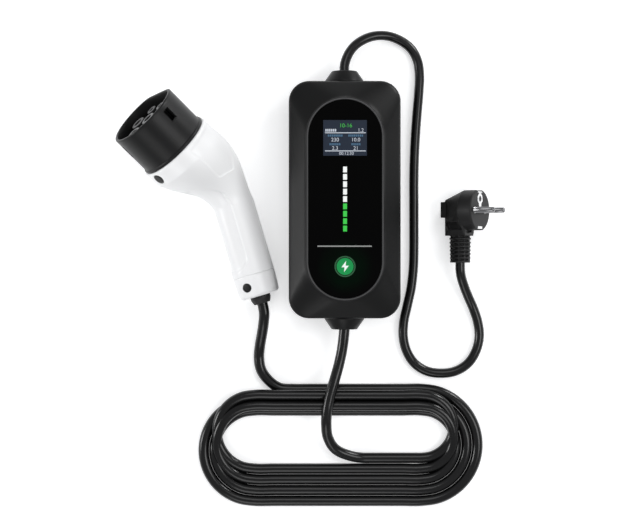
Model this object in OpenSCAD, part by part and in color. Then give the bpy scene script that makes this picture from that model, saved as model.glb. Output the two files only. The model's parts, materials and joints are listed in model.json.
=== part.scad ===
// Portable charging lead for an electric car, laid out flat on its back:
// control box, pistol-grip vehicle connector, earthed two-pin mains plug and coiled cable.

/* [Control box] */
// Width of the box
box_w = 98; // [90:1:110]
// Length of the box, without its glands
box_l = 208; // [200:1:230]
// Thickness from back to front panel
box_t = 54; // [50:1:64]
// Corner radius seen from the front
box_corner_r = 18; // [14:1:24]
// Wall of both case halves
box_wall = 3; // [2.6:0.1:3.4]
// Height of the parting line above the back
split_z = 22; // [21:0.5:24]
// Height at which the front bevel starts
shoulder_z = 40; // [40:0.5:43]
// Chamfer round the back
back_chamfer = 3; // [1:0.5:4]
// Radius of the four corner screw posts
post_r = 5; // [4.4:0.1:6]
// Distance of the screw posts from the box sides
post_inset = 12; // [11:0.5:14]

/* [Front panel] */
// Width of the glossy panel
panel_w = 63.5; // [60:0.5:66]
// Length of the glossy panel
panel_l = 172.5; // [168:0.5:180]
// Thickness of the panel
panel_t = 2.5; // [2:0.1:3]
// Flat rim between the panel and the bevel
rim_w = 2.4; // [1.5:0.1:4]
// Ledge that the panel is glued to
ledge_w = 4; // [3:0.5:5]
// Thickness of that ledge
ledge_t = 2.4; // [2:0.1:3]
// Width of the display window
display_w = 38; // [34:0.5:42]
// Height of the display window
display_h = 31; // [26:0.5:36]
// Centre of the display window above the box centre
display_y = 53; // [48:0.5:56]
// Number of segments in the charge bar
segment_count = 9; // [6:1:10]
// Width of a segment
segment_w = 3.6; // [3:0.1:5]
// Length of a segment
segment_l = 5.2; // [4:0.1:5.6]
// Distance from segment to segment
segment_pitch = 6.4; // [6:0.1:7]
// Radius of the touch key's disc
key_r = 8; // [7:0.1:10]
// Width of the light ring round the key
key_ring_w = 1; // [0.8:0.1:1.5]
// Distance of the key below the box centre
key_y = 58.5; // [56:0.5:62]

/* [Circuit boards] */
// Width of the main board
board_w = 84; // [80:1:86]
// Length of the main board
board_l = 150; // [146:1:154]
// Thickness of both circuit boards
board_t = 1.6; // [1.2:0.1:2]
// Height of the pillars under the main board
pillar_h = 7; // [6:0.5:8]
// Width of the display board
display_board_w = 62; // [61:1:64]
// Length of the display board
display_board_l = 150; // [146:1:154]
// Width of a relay
relay_w = 14; // [12:0.5:16]
// Length of a relay
relay_l = 29; // [26:0.5:32]
// Height of a relay
relay_h = 22; // [18:0.5:24]
// Width of the supply module
supply_w = 25; // [20:1:27]
// Length of the supply module
supply_l = 38; // [30:1:40]
// Height of the supply module
supply_h = 20; // [14:0.5:22]
// Width of the ribbon cable
ribbon_w = 20; // [10:1:24]
// Outer radius of the leakage current sensor's ring
sensor_r = 13; // [11:0.5:14]
// Inner radius of that ring
sensor_bore_r = 7; // [5:0.5:8]

/* [Cable glands] */
// Radius of a gland at the box
gland_base_r = 17.5; // [15:0.5:17.5]
// Radius of a gland at its end
gland_tip_r = 11.5; // [9:0.5:13]
// Length of a gland outside the box
gland_len = 10; // [8:0.5:14]
// Radius of a gland in the case wall
gland_neck_r = 11; // [9:0.5:12]

/* [Vehicle connector] */
// Outer radius of the black shroud
shroud_r = 32.5; // [31:0.5:34]
// Length of the shroud in front of the handle
shroud_len = 40; // [36:0.5:44]
// Wall of the shroud
shroud_wall = 2.8; // [2.2:0.1:3.4]
// Height of the flat on the shroud's top
shroud_flat = 27.5; // [26:0.5:29]
// Chamfer round the shroud's front edge
shroud_edge = 0.9; // [0.4:0.1:1]
// Length of the shroud's lip against the handle
lip_len = 3; // [2:0.5:4]
// Radius of the head of the handle
head_r = 35; // [34.5:0.5:37]
// Length of the head to where its axis meets the grip's
head_len = 76; // [72:1:82]
// Length of the head that stays round
barrel_len = 14; // [12:1:18]
// Angle between the head and the grip
grip_angle = 34; // [30:1:38]
// Depth of the grip, from finger side to palm side
grip_depth = 39.5; // [38:0.5:43]
// Width of the grip
grip_w = 34; // [32:0.5:38]
// Length of the grip up to the end ring
grip_len = 64; // [60:1:72]
// Length of the end ring
end_ring_len = 20; // [18:1:24]
// Wall of the handle
grip_wall = 3; // [2.5:0.1:3.5]
// Depth of the fields pressed into the handle's sides
field_depth = 0.6; // [0.3:0.1:0.8]
// Length of the field on the head
head_field_l = 39; // [30:1:42]
// Height of the field on the head
head_field_h = 27; // [20:1:32]
// Length of the field on the grip
grip_field_l = 62; // [50:1:66]
// Height of the field on the grip
grip_field_h = 17; // [12:0.5:22]

/* [Contacts] */
// Distance between neighbouring power contacts
power_pitch = 17; // [16.5:0.1:17.5]
// Height of the middle row
middle_row_z = 1; // [0:0.5:2]
// Distance from the middle row down to the lower row
lower_row_drop = 15.6; // [15:0.1:16]
// Distance from the middle row up to the signal row
signal_row_rise = 13.5; // [13:0.1:14.5]
// Distance between the two signal contacts
signal_pitch = 15; // [13:0.5:16]
// Radius of a power tower
power_tower_r = 6.7; // [6.4:0.1:7.2]
// Radius of a signal tower
signal_tower_r = 4.7; // [4.2:0.1:5]
// Bore radius of a power contact
power_bore_r = 3; // [2.8:0.05:3.2]
// Bore radius of a signal contact
signal_bore_r = 1.5; // [1.4:0.05:1.6]
// Wall of a contact sleeve
contact_wall = 1; // [0.7:0.1:1.2]
// Depth of the towers behind the shroud's rim
tower_recess = 6; // [4:0.5:8]

/* [Mains plug] */
// Radius of the plug's face
plug_r = 18.5; // [18:0.5:20]
// Thickness of the round front
plug_front_t = 13.5; // [12:0.5:16]
// Depth of the plug from face to back
plug_depth = 34.5; // [32:0.5:38]
// Width of the plug's thumb block
plug_back_w = 20; // [17:0.5:23]
// Height of the plug's back
plug_back_h = 18; // [16:0.5:20]
// Thickness of the thumb block on the plug's back
thumb_t = 4; // [3:0.5:5]
// Depth of the grip recesses in the plug's sides
recess_depth = 2.2; // [1:0.1:2.6]
// Radius of a mains pin
pin_r = 2.4; // [2.4:0.05:2.5]
// Length of a mains pin in front of the face
pin_len = 19; // [18.5:0.5:19.5]
// Distance between the pins
pin_pitch = 19; // [18.5:0.1:19.5]
// Distance of the earth socket above the pins
earth_rise = 10; // [9:0.5:10.5]
// Bore radius of the earth socket
earth_bore_r = 2.5; // [2.4:0.05:2.6]
// Depth of the earth socket
earth_depth = 14; // [12:0.5:16]
// Radius of the ribbed cord relief where it starts
relief_r = 9.6; // [9:0.1:10]
// Radius of its end
relief_tip_r = 9; // [8:0.1:9]
// Number of ribs on it
relief_ribs = 7; // [5:1:8]
// Number of webs that join the ribs
relief_webs = 10; // [6:1:12]
// Distance from rib to rib
rib_pitch = 3.4; // [3.2:0.1:4]

/* [Cables] */
// Diameter of the mains lead
mains_d = 8.5; // [8:0.1:9]
// Diameter of the charging cable
charge_d = 9.5; // [9:0.1:10]
// Overall length of the coil
coil_l = 254; // [240:1:260]
// Overall width of the coil
coil_w = 109.5; // [105:0.5:112]
// Height of the coil
coil_h = 18; // [17:0.5:18]
// Width of the bunch of turns nearer the box
near_bunch_w = 29.1; // [28:0.1:32]
// Width of the gap between the two bunches
coil_gap_w = 31.7; // [28:0.1:34]
// Length of the coil's two bends
coil_bend_l = 34; // [30:1:40]

/* [Layout] */
// Heading of the connector's head
gun_yaw = 135; // [130:1:140]
// Lift of the connector's nose
gun_pitch = 20; // [16:1:22]
// Roll of the connector onto its side
gun_roll = 121.5; // [118:0.5:124]
// Turn of the plug's pins away from the floor
plug_tilt = 33; // [28:1:36]

/* [Hidden] */
$fn = 48;
fit_gap = 0.1;
sink = 0.2;

// Control box heights
gland_z = split_z;
panel_top_z = box_t - sink;
panel_z = panel_top_z - panel_t;
ledge_z = panel_z - ledge_t;
lug_h = 2.4;
display_board_z = ledge_z - lug_h - board_t;
lit_top_z = panel_top_z - fit_gap;
main_board_z = box_wall + pillar_h;
main_top_z = main_board_z + board_t;
post_x = box_w / 2 - post_inset;
post_y = box_l / 2 - post_inset;
screw_r = 1.6;
screw_head_r = 3;
screw_head_h = 2.4;
screw_depth = 5;
pillar_x = board_w / 2 - 6;
pillar_y = board_l / 2 - 7;
lug_x = panel_w / 2 + fit_gap - ledge_w / 2;
lug_y = 50;
small_screw_r = 1.2;
small_head_r = 2.3;
small_head_h = 1.6;
clamp_y = box_l / 2 - 14;
clamp_half_l = 4;
clamp_screw_x = 9;
clamp_h = 5;
flange_t = 2.2;
gland_flange_r = gland_neck_r + 2;
key_hole_r = key_r + key_ring_w + 2 * fit_gap;
terminal_y = 61;
terminal_l = 12;
terminal_h = 14;
core_r = 1.1;
power_core_r = 1.4;
mains_core_x = [-7, 0, 7];
output_core_x = [-16, -8, 0, 8, 16];
stub_y = clamp_y - clamp_half_l - 2;

// Connector lengths along its own axis
spigot_len = barrel_len - 1;
spigot_r = head_r - grip_wall - 0.6;
spigot_wall = 3;
carrier_r = spigot_r - spigot_wall - fit_gap;
core_front = 6;
core_face_r = shroud_flat - shroud_wall - 0.2;
stop_t = 2;
disc_t = 7;
seal_t = 2.4;
tower_top = shroud_len - tower_recess;
power_r = power_bore_r + contact_wall;
signal_r = signal_bore_r + contact_wall * 0.6;
power_bore_len = 24;
signal_bore_len = 18;
contact_back = stop_t + disc_t + seal_t + 2;
mouth_t = 3;
mouth_flare = 0.8;
power_at = [[-power_pitch, middle_row_z], [0, middle_row_z], [power_pitch, middle_row_z]];
spare_at = [
    [-power_pitch / 2, middle_row_z - lower_row_drop],
    [power_pitch / 2, middle_row_z - lower_row_drop]
];
signal_at = [
    [-signal_pitch / 2, middle_row_z + signal_row_rise],
    [signal_pitch / 2, middle_row_z + signal_row_rise]
];
cap_r = 5;
cap_t = 1.2;
cap_head_h = 1.2;
head_screw_x = -7;
end_screw_turn = 25;
ring_wall = 2.6;
ring_floor_t = 3;
jaw_r = 11;
jaw_l = 9;
grip_end = grip_len + end_ring_len;
end_screw_at = grip_end - ring_floor_t - 2.4 - jaw_l / 2;
end_screw_r = grip_depth / 2 * grip_w / 2
    / norm([grip_w / 2 * cos(end_screw_turn), grip_depth / 2 * sin(end_screw_turn)]) - 0.6;
cable_inset = 14;
bush_neck_r = 8.4;
bush_collar_r = 9;
bush_collar_len = 7;
bush_flange_r = 10.4;

// Sections of the handle: place, height, tilt, half depth, half width
crown = 6.3;
blend_steps = 12;
ring_sides = 48;
function ease(u) = u * u * (3 - 2 * u);
function blend(u) = [
    -barrel_len - u * (head_len - barrel_len),
    crown * sin(180 * u),
    grip_angle * u,
    head_r + (grip_depth / 2 - head_r) * ease(u),
    head_r + (grip_w / 2 - head_r) * ease(u)
];
function along_grip(t) = [-head_len - cos(grip_angle) * t, 0, -sin(grip_angle) * t];
function grip_section(t, depth, w) =
    [along_grip(t)[0], along_grip(t)[2], grip_angle, depth / 2, w / 2];
head_sections = concat(
    [[0, 0, 0, head_r - 0.8, head_r - 0.8], [-0.8, 0, 0, head_r, head_r]],
    [[-barrel_len, 0, 0, head_r, head_r]],
    [for (i = [1:blend_steps]) blend(i / blend_steps)]
);
grip_sections = concat(
    head_sections,
    [for (k = [0.35, 0.7, 1]) grip_section(grip_len * k, grip_depth, grip_w)]
);
ring_sections = [
    grip_section(grip_len, grip_depth, grip_w),
    grip_section(grip_len + end_ring_len * 0.5, grip_depth - 0.6, grip_w - 0.6),
    grip_section(grip_end - 3, grip_depth - 2, grip_w - 1.6),
    grip_section(grip_end, grip_depth - 6.5, grip_w - 6)
];

// One ring of points round a section, pulled in by a wall
function section_ring(s, inset) = [
    for (i = [0:ring_sides - 1])
        let (a = 360 * (i + 0.5) / ring_sides, h = (s[3] - inset) * sin(a), w = (s[4] - inset) * cos(a))
            [s[0] - sin(s[2]) * h, w, s[1] + cos(s[2]) * h]
];
function height_of(p) =
    p[0] * sin(gun_pitch) + p[1] * cos(gun_pitch) * sin(gun_roll)
    + p[2] * cos(gun_pitch) * cos(gun_roll);
gun_lift = -min([
    for (s = concat(grip_sections, ring_sections), p = section_ring(s, 0)) height_of(p)
]);
gun_x = -149;
gun_y = 46.7;

// Mains plug
plug_x = 119.7;
plug_y = -8.8;
plug_lift = max(
    plug_depth * sin(plug_tilt) + plug_back_w / 2 * cos(plug_tilt),
    plug_front_t * sin(plug_tilt) + plug_r * cos(plug_tilt)
);
relief_x = -20;
relief_start = 20;
relief_lead = 2.5;
relief_end = relief_start + relief_lead + relief_ribs * rib_pitch;
neck_half_w = 8;
neck_bottom = 22.5;
clip_w = 8;
clip_t = 1;
clip_seat = plug_r - 3;
clip_foot = 2.2;
plate_t = 0.7;
plate_r = 4.9;
bridge_r = 14;
bridge_t = 5;
bridge_back = 12;
pin_root = bridge_back - 1;
pin_root_r = pin_r + 0.6;
earth_wall = 0.8;

// Routes of the cables, from where they leave the box or the handle
mains_r = mains_d / 2;
charge_r = charge_d / 2;
mains_route = [
    [0, 114, 22], [0, 118, 21.6], [2, 126, 20], [8, 136, 17], [17, 143, 13.5], [28, 147, 10],
    [40, 147, 7], [51, 143, 5], [60, 136, 4.4], [65.5, 126, 4.25], [67.5, 114, 4.25],
    [67, 98, 4.25], [65.5, 80, 4.25], [64, 60, 4.25], [63, 40, 4.25], [62.5, 20, 4.25],
    [62.5, 0, 4.25], [62.5, -20, 4.25], [62.5, -40, 4.25], [62, -60, 4.25], [60, -78, 4.25],
    [56.5, -94, 4.25], [53.5, -108, 4.25], [53, -121, 4.25], [56, -134, 4.25],
    [63, -145, 4.25], [74, -152, 4.25], [87, -154, 4.25], [100, -152, 4.25],
    [111, -145, 4.25], [118, -134, 4.25], [121, -121, 4.25], [119.5, -108, 4.4],
    [115.5, -96, 5.6], [110.5, -85, 8.6], [106, -74, 12.6], [103.8, -67, 15]
];
charge_box_route = [
    [0, -114, 22], [-0.5, -120, 22], [-2, -132, 21.4], [-5, -146, 21.6], [-9, -160, 23.2],
    [-13, -174, 23.8], [-15.5, -187, 23.8], [-16, -199, 22], [-14.5, -210, 17], [-8, -220.8, 12]
];
charge_handle_route = [
    [-71, -100, 17.5], [-71.5, -108, 15.5], [-73, -118, 11.5], [-75, -129, 7],
    [-76, -140, 4.8], [-74, -151, 4.75], [-68, -159.6, 4.75]
];
coil_x = -3;
coil_y = -218;

// Flat shapes
module rounded_rect(w, l, r) {
    square([w - 2 * r, l], center = true);
    square([w, l - 2 * r], center = true);
    for (x = [-1, 1], y = [-1, 1])
        translate([x * (w / 2 - r), y * (l / 2 - r)]) circle(r);
}

module stadium(w, l) {
    square([w, l - w], center = true);
    for (y = [-1, 1])
        translate([0, y * (l - w) / 2]) circle(w / 2);
}

// A block that stands on a height, centred on a place
module block(x, y, z, size) {
    translate([x - size[0] / 2, y - size[1] / 2, z]) cube(size);
}

module post(x, y, z, r, h) {
    translate([x, y, z]) cylinder(r = r, h = h);
}

// A screw whose head stands on a height and whose shank points up or down
module screw(x, y, z, head_r, head_h, shank_r, shank_l, up) {
    s = up ? 1 : -1;
    translate([x, y, z]) {
        translate([0, 0, up ? -head_h : 0]) cylinder(r = head_r, h = head_h, $fn = 32);
        translate([0, 0, up ? -sink : -shank_l]) cylinder(r = shank_r, h = shank_l + sink, $fn = 24);
    }
}

// Faces that join n rings of m points each, with both ends closed
function skin(n, m) = concat(
    [[for (k = [m - 1:-1:0]) k]],
    [for (i = [0:n - 2], k = [0:m - 1])
        let (a = i * m + k, b = i * m + (k + 1) % m) [a, b, b + m, a + m]],
    [[for (k = [0:m - 1]) (n - 1) * m + k]]
);

// A tube swept along a route
module cord(route, r, sides = 10) {
    n = len(route);
    function heading(i) =
        let (v = route[min(i + 1, n - 1)] - route[max(i - 1, 0)]) v / norm(v);
    function around(i) =
        let (t = heading(i), s = cross(t, [0, 0, 1]), side = s / norm(s), up = cross(side, t))
            [for (k = [0:sides - 1])
                route[i] + r * (side * cos(360 * k / sides) + up * sin(360 * k / sides))];
    polyhedron([for (i = [0:n - 1]) each around(i)], skin(n, sides));
}

// A closed solid through a row of sections
module loft(sections, inset = 0) {
    polyhedron([for (s = sections) each section_ring(s, inset)],
        skin(len(sections), ring_sides));
}

// Case halves
module case_core(z0, z1, inset) {
    hull() {
        translate([0, 0, z0])
            linear_extrude(shoulder_z - inset / 2 - z0)
                rounded_rect(box_w - 2 * inset, box_l - 2 * inset, box_corner_r - inset);
        translate([0, 0, z1 - 1])
            linear_extrude(1)
                stadium(panel_w + 2 * (rim_w - inset), panel_l + 2 * (rim_w - inset));
    }
}

module gland_hole(y, r) {
    translate([0, y, gland_z]) rotate([90, 0, 0]) cylinder(r = r, h = 4 * box_wall, center = true);
}

module back_case() {
    color("#2b2c2e") {
        difference() {
            union() {
                difference() {
                    hull() {
                        linear_extrude(1)
                            rounded_rect(box_w - 2 * back_chamfer, box_l - 2 * back_chamfer,
                                box_corner_r - back_chamfer);
                        translate([0, 0, back_chamfer])
                            linear_extrude(split_z - back_chamfer)
                                rounded_rect(box_w, box_l, box_corner_r);
                    }
                    translate([0, 0, box_wall])
                        linear_extrude(split_z)
                            rounded_rect(box_w - 2 * box_wall, box_l - 2 * box_wall,
                                box_corner_r - box_wall);
                }
                for (x = [-1, 1], y = [-1, 1]) {
                    post(x * post_x, y * post_y, 1, post_r, split_z - 1);
                    post(x * pillar_x, y * pillar_y, 1, 3, main_board_z - 1);
                    post(x * clamp_screw_x, y * clamp_y, 1, 3, gland_z);
                }
                for (y = [-1, 1])
                    block(0, y * clamp_y, 1, [14, 2 * clamp_half_l, gland_z - 1]);
            }
            for (x = [-1, 1], y = [-1, 1]) {
                post(x * post_x, y * post_y, -1, screw_head_r + 0.4, screw_depth + 1);
                post(x * post_x, y * post_y, 0, screw_r + fit_gap, split_z + 1);
                post(x * pillar_x, y * pillar_y, box_wall, small_screw_r, pillar_h + 1);
                post(x * clamp_screw_x, y * clamp_y, box_wall, small_screw_r, split_z);
            }
            gasket_ring(fit_gap / 2, 2);
            for (y = [-1, 1]) gland_hole(y * box_l / 2, gland_neck_r + fit_gap / 2);
            translate([0, clamp_y, gland_z]) rotate([90, 0, 0])
                cylinder(r = mains_r + fit_gap, h = 3 * clamp_half_l, center = true);
            translate([0, -clamp_y, gland_z]) rotate([90, 0, 0])
                cylinder(r = charge_r + fit_gap, h = 3 * clamp_half_l, center = true);
        }
    }
}

module front_case() {
    color("#2b2c2e") {
        difference() {
            case_core(split_z, box_t, 0);
            difference() {
                translate([0, 0, -1]) case_core(split_z, ledge_z + 1, box_wall);
                for (x = [-1, 1], y = [-1, 1]) {
                    post(x * post_x, y * post_y, split_z - 2, post_r, box_t);
                    post(x * lug_x, y * lug_y, ledge_z - lug_h, 2.2, box_t);
                }
            }
            translate([0, 0, panel_z])
                linear_extrude(box_t)
                    stadium(panel_w + 2 * fit_gap, panel_l + 2 * fit_gap);
            translate([0, 0, split_z])
                linear_extrude(box_t)
                    stadium(panel_w - 2 * ledge_w, panel_l - 2 * ledge_w);
            for (x = [-1, 1], y = [-1, 1]) {
                post(x * post_x, y * post_y, split_z - 1, screw_r, 12);
                post(x * lug_x, y * lug_y, ledge_z - lug_h - 1, small_screw_r - 0.2, 4);
            }
            for (y = [-1, 1]) gland_hole(y * box_l / 2, gland_neck_r + fit_gap / 2);
        }
    }
}

module gasket_ring(grow, depth) {
    seal_w = 1.4;
    seal_edge = 0.8;
    translate([0, 0, split_z - depth])
        linear_extrude(depth + (grow > 0 ? 1 : 0))
            difference() {
                rounded_rect(box_w - 2 * seal_edge + 2 * grow, box_l - 2 * seal_edge + 2 * grow,
                    box_corner_r - seal_edge + grow);
                rounded_rect(box_w - 2 * (seal_edge + seal_w) - 2 * grow,
                    box_l - 2 * (seal_edge + seal_w) - 2 * grow,
                    box_corner_r - seal_edge - seal_w - grow);
            }
}

module case_gasket() {
    color("#3c3c3c") {
        difference() {
            gasket_ring(0, 2);
            for (y = [-1, 1]) gland_hole(y * box_l / 2, gland_neck_r + fit_gap);
        }
    }
}

module case_screws() {
    color("#9a9a9a") {
        for (x = [-1, 1], y = [-1, 1])
            screw(x * post_x, y * post_y, screw_depth, screw_head_r, screw_head_h, screw_r - 0.05,
                split_z + 6, true);
    }
}

// Front panel and what it shows
module segment_places() {
    for (i = [0:segment_count - 1])
        translate([0, (i - (segment_count - 1) / 2) * segment_pitch, 0]) children();
}

module front_panel() {
    color("#0a0a0a") {
        difference() {
            translate([0, 0, panel_z]) linear_extrude(panel_t) stadium(panel_w, panel_l);
            block(0, display_y, panel_z - 1, [display_w, display_h, panel_t + 2]);
            segment_places() block(0, 0, panel_z - 1, [segment_w, segment_l, panel_t + 2]);
            post(0, -key_y, panel_z - 1, key_hole_r, panel_t + 2);
        }
    }
}

module display_module() {
    color("#1d2b3d") {
        top_z = display_board_z + board_t;
        block(0, display_y, top_z, [display_w + 6, display_h + 4, panel_z - top_z]);
        block(0, display_y, panel_z - 1,
            [display_w - 2 * fit_gap, display_h - 2 * fit_gap, lit_top_z - panel_z + 1]);
    }
}

module charge_bar() {
    color("#2fbf3f") {
        top_z = display_board_z + board_t;
        segment_places()
            block(0, 0, top_z,
                [segment_w - 2 * fit_gap, segment_l - 2 * fit_gap, lit_top_z - top_z]);
    }
}

module touch_key() {
    color("#2fbf3f") {
        top_z = display_board_z + board_t;
        post(0, -key_y, top_z, 4, lit_top_z - top_z);
        post(0, -key_y, panel_z - 1.2, key_hole_r + 2, 1.2);
        post(0, -key_y, panel_z - 1, key_r, lit_top_z - panel_z + 1);
    }
}

module key_ring() {
    color("#8fe39a") {
        difference() {
            post(0, -key_y, panel_z, key_r + fit_gap + key_ring_w, lit_top_z - panel_z);
            post(0, -key_y, panel_z - 1, key_r + fit_gap, panel_t + 2);
        }
    }
}

module display_board() {
    color("#1f5a36") {
        difference() {
            block(0, 0, display_board_z, [display_board_w, display_board_l, board_t]);
            for (x = [-1, 1], y = [-1, 1])
                post(x * lug_x, y * lug_y, display_board_z - 1, small_screw_r, board_t + 2);
        }
    }
}

module display_screws() {
    color("#b0b0b0") {
        for (x = [-1, 1], y = [-1, 1])
            screw(x * lug_x, y * lug_y, display_board_z, small_head_r, small_head_h,
                small_screw_r - 0.25, board_t + 2.5, true);
    }
}

// Main board
module main_board() {
    color("#1f5a36") {
        difference() {
            block(0, 0, main_board_z, [board_w, board_l, board_t]);
            for (x = [-1, 1], y = [-1, 1])
                post(x * pillar_x, y * pillar_y, main_board_z - 1, small_screw_r + fit_gap,
                    board_t + 2);
        }
    }
}

module board_screws() {
    color("#b0b0b0") {
        for (x = [-1, 1], y = [-1, 1])
            screw(x * pillar_x, y * pillar_y, main_top_z, small_head_r, small_head_h,
                small_screw_r - 0.05, board_t + 5, false);
    }
}

module power_relays() {
    color("#26324a") {
        for (x = [-1, 1]) block(x * (relay_w / 2 + 3), 26, main_top_z, [relay_w, relay_l, relay_h]);
    }
}

module supply_module() {
    color("#202020") {
        block(-22, -24, main_top_z, [supply_w, supply_l, supply_h]);
    }
}

module smoothing_capacitor() {
    color("#31415e") {
        post(-30, 26, main_top_z, 7, 22);
    }
}

module current_sensor() {
    color("#3a6f3a") {
        difference() {
            post(20, -24, main_top_z, sensor_r, 11);
            post(20, -24, main_top_z - 1, sensor_bore_r, 13);
        }
    }
}

module fuse() {
    color("#d8d8d0") {
        translate([32, 16, main_top_z + 4]) rotate([-90, 0, 0]) cylinder(r = 2.6, h = 20, $fn = 24);
        for (y = [18, 34]) block(32, y, main_top_z, [6, 2, 4]);
    }
}

module buzzer() {
    color("#151515") {
        difference() {
            post(2, -47, main_top_z, 6, 8);
            post(2, -47, main_top_z + 6, 1, 3);
        }
    }
}

module terminal_block(y, places) {
    difference() {
        block(0, y, main_top_z,
            [places[len(places) - 1] - places[0] + 8, terminal_l, terminal_h]);
        for (x = places) {
            post(x, y, main_top_z + terminal_h - 4, 1.8, 5);
            translate([x, y, main_top_z + 5]) rotate([90, 0, 0])
                cylinder(r = power_core_r + 0.3, h = terminal_l + 2, center = true, $fn = 24);
        }
    }
}

module mains_terminals() {
    color("#2f7a4a") {
        terminal_block(terminal_y, mains_core_x);
    }
}

module output_terminals() {
    color("#2f7a4a") {
        terminal_block(-terminal_y, output_core_x);
    }
}

// Cores that fan out from a cable's end, at the clamps, into a terminal block
module cores(places, angles, side, r, bundle_r) {
    entry_z = main_top_z + 5;
    outer_y = terminal_y + terminal_l / 2;
    for (i = [0:len(places) - 1]) {
        a = angles[i];
        cord([
            [bundle_r * cos(a), side * stub_y, gland_z + bundle_r * sin(a)],
            [bundle_r * cos(a), side * (stub_y - 2), gland_z + bundle_r * sin(a)],
            [places[i], side * (outer_y + 4), entry_z + 1],
            [places[i], side * (outer_y + 1), entry_z],
            [places[i], side * (terminal_y + 2), entry_z]
        ], r, 6);
    }
}

module mains_cores() {
    color("#8a5a2a") {
        cores(mains_core_x, [150, 270, 30], 1, power_core_r, 2.2);
    }
}

module output_cores() {
    color("#3a6ea5") {
        cores(output_core_x, [198, 126, 270, 54, 342], -1, core_r, 2.6);
    }
}

module ribbon_cable() {
    color("#c8c8c8") {
        low = main_top_z;
        high = display_board_z;
        translate([-26, -54, 0]) rotate([90, 0, 90])
            linear_extrude(ribbon_w)
                polygon([[0, low], [0.8, low], [0.8, low + 2], [5, high - 3], [5, high],
                    [4.2, high], [4.2, high - 2.8], [0, low + 2.2]]);
    }
}

// Rubber glands, each clamped between the case halves
module gland(r) {
    wall_in = box_l / 2 - box_wall;
    rotate([-90, 0, 0])
        rotate_extrude()
            polygon([
                [r + fit_gap / 2, wall_in - flange_t], [gland_flange_r, wall_in - flange_t],
                [gland_flange_r, wall_in], [gland_neck_r, wall_in], [gland_neck_r, box_l / 2],
                [gland_base_r, box_l / 2], [gland_base_r, box_l / 2 + 1],
                [gland_tip_r, box_l / 2 + gland_len],
                [r + fit_gap / 2, box_l / 2 + gland_len]
            ]);
}

module top_gland() {
    color("#151515") {
        translate([0, 0, gland_z]) gland(mains_r);
    }
}

module bottom_gland() {
    color("#151515") {
        translate([0, 0, gland_z]) mirror([0, 1, 0]) gland(charge_r);
    }
}

module cord_clamp(y, r) {
    difference() {
        block(0, y, gland_z + 1, [2 * clamp_screw_x + 7, 2 * clamp_half_l, clamp_h]);
        translate([0, y, gland_z]) rotate([90, 0, 0])
            cylinder(r = r + fit_gap, h = 3 * clamp_half_l, center = true);
        for (x = [-1, 1]) post(x * clamp_screw_x, y, gland_z, small_screw_r + fit_gap, 10);
    }
}

module cord_clamps() {
    color("#303030") {
        cord_clamp(clamp_y, mains_r);
        cord_clamp(-clamp_y, charge_r);
    }
}

module clamp_screws() {
    color("#b0b0b0") {
        for (x = [-1, 1], y = [-1, 1])
            screw(x * clamp_screw_x, y * clamp_y, gland_z + 1 + clamp_h, small_head_r,
                small_head_h, small_screw_r - 0.05, clamp_h + 8, false);
    }
}

// Vehicle connector, drawn with its head along +X and its top along +Z
module place_connector() {
    translate([gun_x, gun_y, gun_lift]) rotate([gun_roll, -gun_pitch, gun_yaw]) children();
}

// Its grip's own frame, with the grip's axis along +Z
module place_grip(t) {
    translate(along_grip(t)) rotate([0, 270 - grip_angle, 0]) children();
}

module tube_x(x0, x1, r, r_in) {
    translate([x0, 0, 0]) rotate([0, 90, 0]) difference() {
        cylinder(r = r, h = x1 - x0, $fn = 96);
        translate([0, 0, -1]) cylinder(r = r_in, h = x1 - x0 + 2, $fn = 96);
    }
}

module rod_x(x0, x1, at, r) {
    translate([x0, at[0], at[1]]) rotate([0, 90, 0])
        cylinder(r = r, h = x1 - x0, $fn = r > 15 ? 96 : 32);
}

// Where the two capped screws sit, with +Z out of the handle
module head_screw_frame() {
    translate([head_screw_x, 0, sink - head_r]) rotate([180, 0, 0]) children();
}

module end_screw_frame() {
    place_grip(end_screw_at) rotate([0, 0, -end_screw_turn]) rotate([0, -90, 0])
        translate([0, 0, end_screw_r]) children();
}

module screw_pocket(r) {
    translate([0, 0, -cap_t - cap_head_h]) cylinder(r = r + fit_gap / 2, h = 8);
    translate([0, 0, -12]) cylinder(r = screw_r + fit_gap / 2, h = 12);
}

module capped_screw(length) {
    translate([0, 0, -cap_t - cap_head_h]) {
        cylinder(r = screw_head_r - 0.2, h = cap_head_h);
        translate([0, 0, -length]) cylinder(r = screw_r, h = length + sink);
    }
}

// Outline of the head's field, pointed towards the grip
module head_field() {
    offset(1.5) offset(-1.5)
        polygon([
            [-barrel_len + 5, -head_field_h / 2], [-barrel_len + 5, head_field_h / 2],
            [-barrel_len + 5 - head_field_l * 0.7, head_field_h / 2],
            [-barrel_len + 5 - head_field_l, 0],
            [-barrel_len + 5 - head_field_l * 0.6, -head_field_h / 2]
        ]);
}

// Outline of the grip's field, with a round lower end
module grip_field() {
    translate([along_grip(0)[0], along_grip(0)[2]]) rotate(180 + grip_angle) {
        translate([grip_len - 6 - grip_field_l, -grip_field_h / 2])
            square([grip_field_l - grip_field_h / 2, grip_field_h]);
        translate([grip_len - 6 - grip_field_h / 2, 0]) circle(grip_field_h / 2);
    }
}

module handle_fields() {
    difference() {
        rotate([90, 0, 0]) linear_extrude(4 * head_r, center = true) {
            head_field();
            grip_field();
        }
        loft(grip_sections, field_depth);
    }
}

module grip_housing() {
    inner = concat(
        [for (i = [2:len(grip_sections) - 2]) grip_sections[i]],
        [grip_section(grip_len + 1, grip_depth, grip_w)]
    );
    color("#f2f2f2") {
        place_connector() difference() {
            loft(grip_sections);
            handle_fields();
            loft(inner, grip_wall);
            rod_x(-barrel_len - 0.5, 1, [0, 0], spigot_r + fit_gap);
            head_screw_frame() screw_pocket(cap_r);
        }
    }
}

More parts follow.
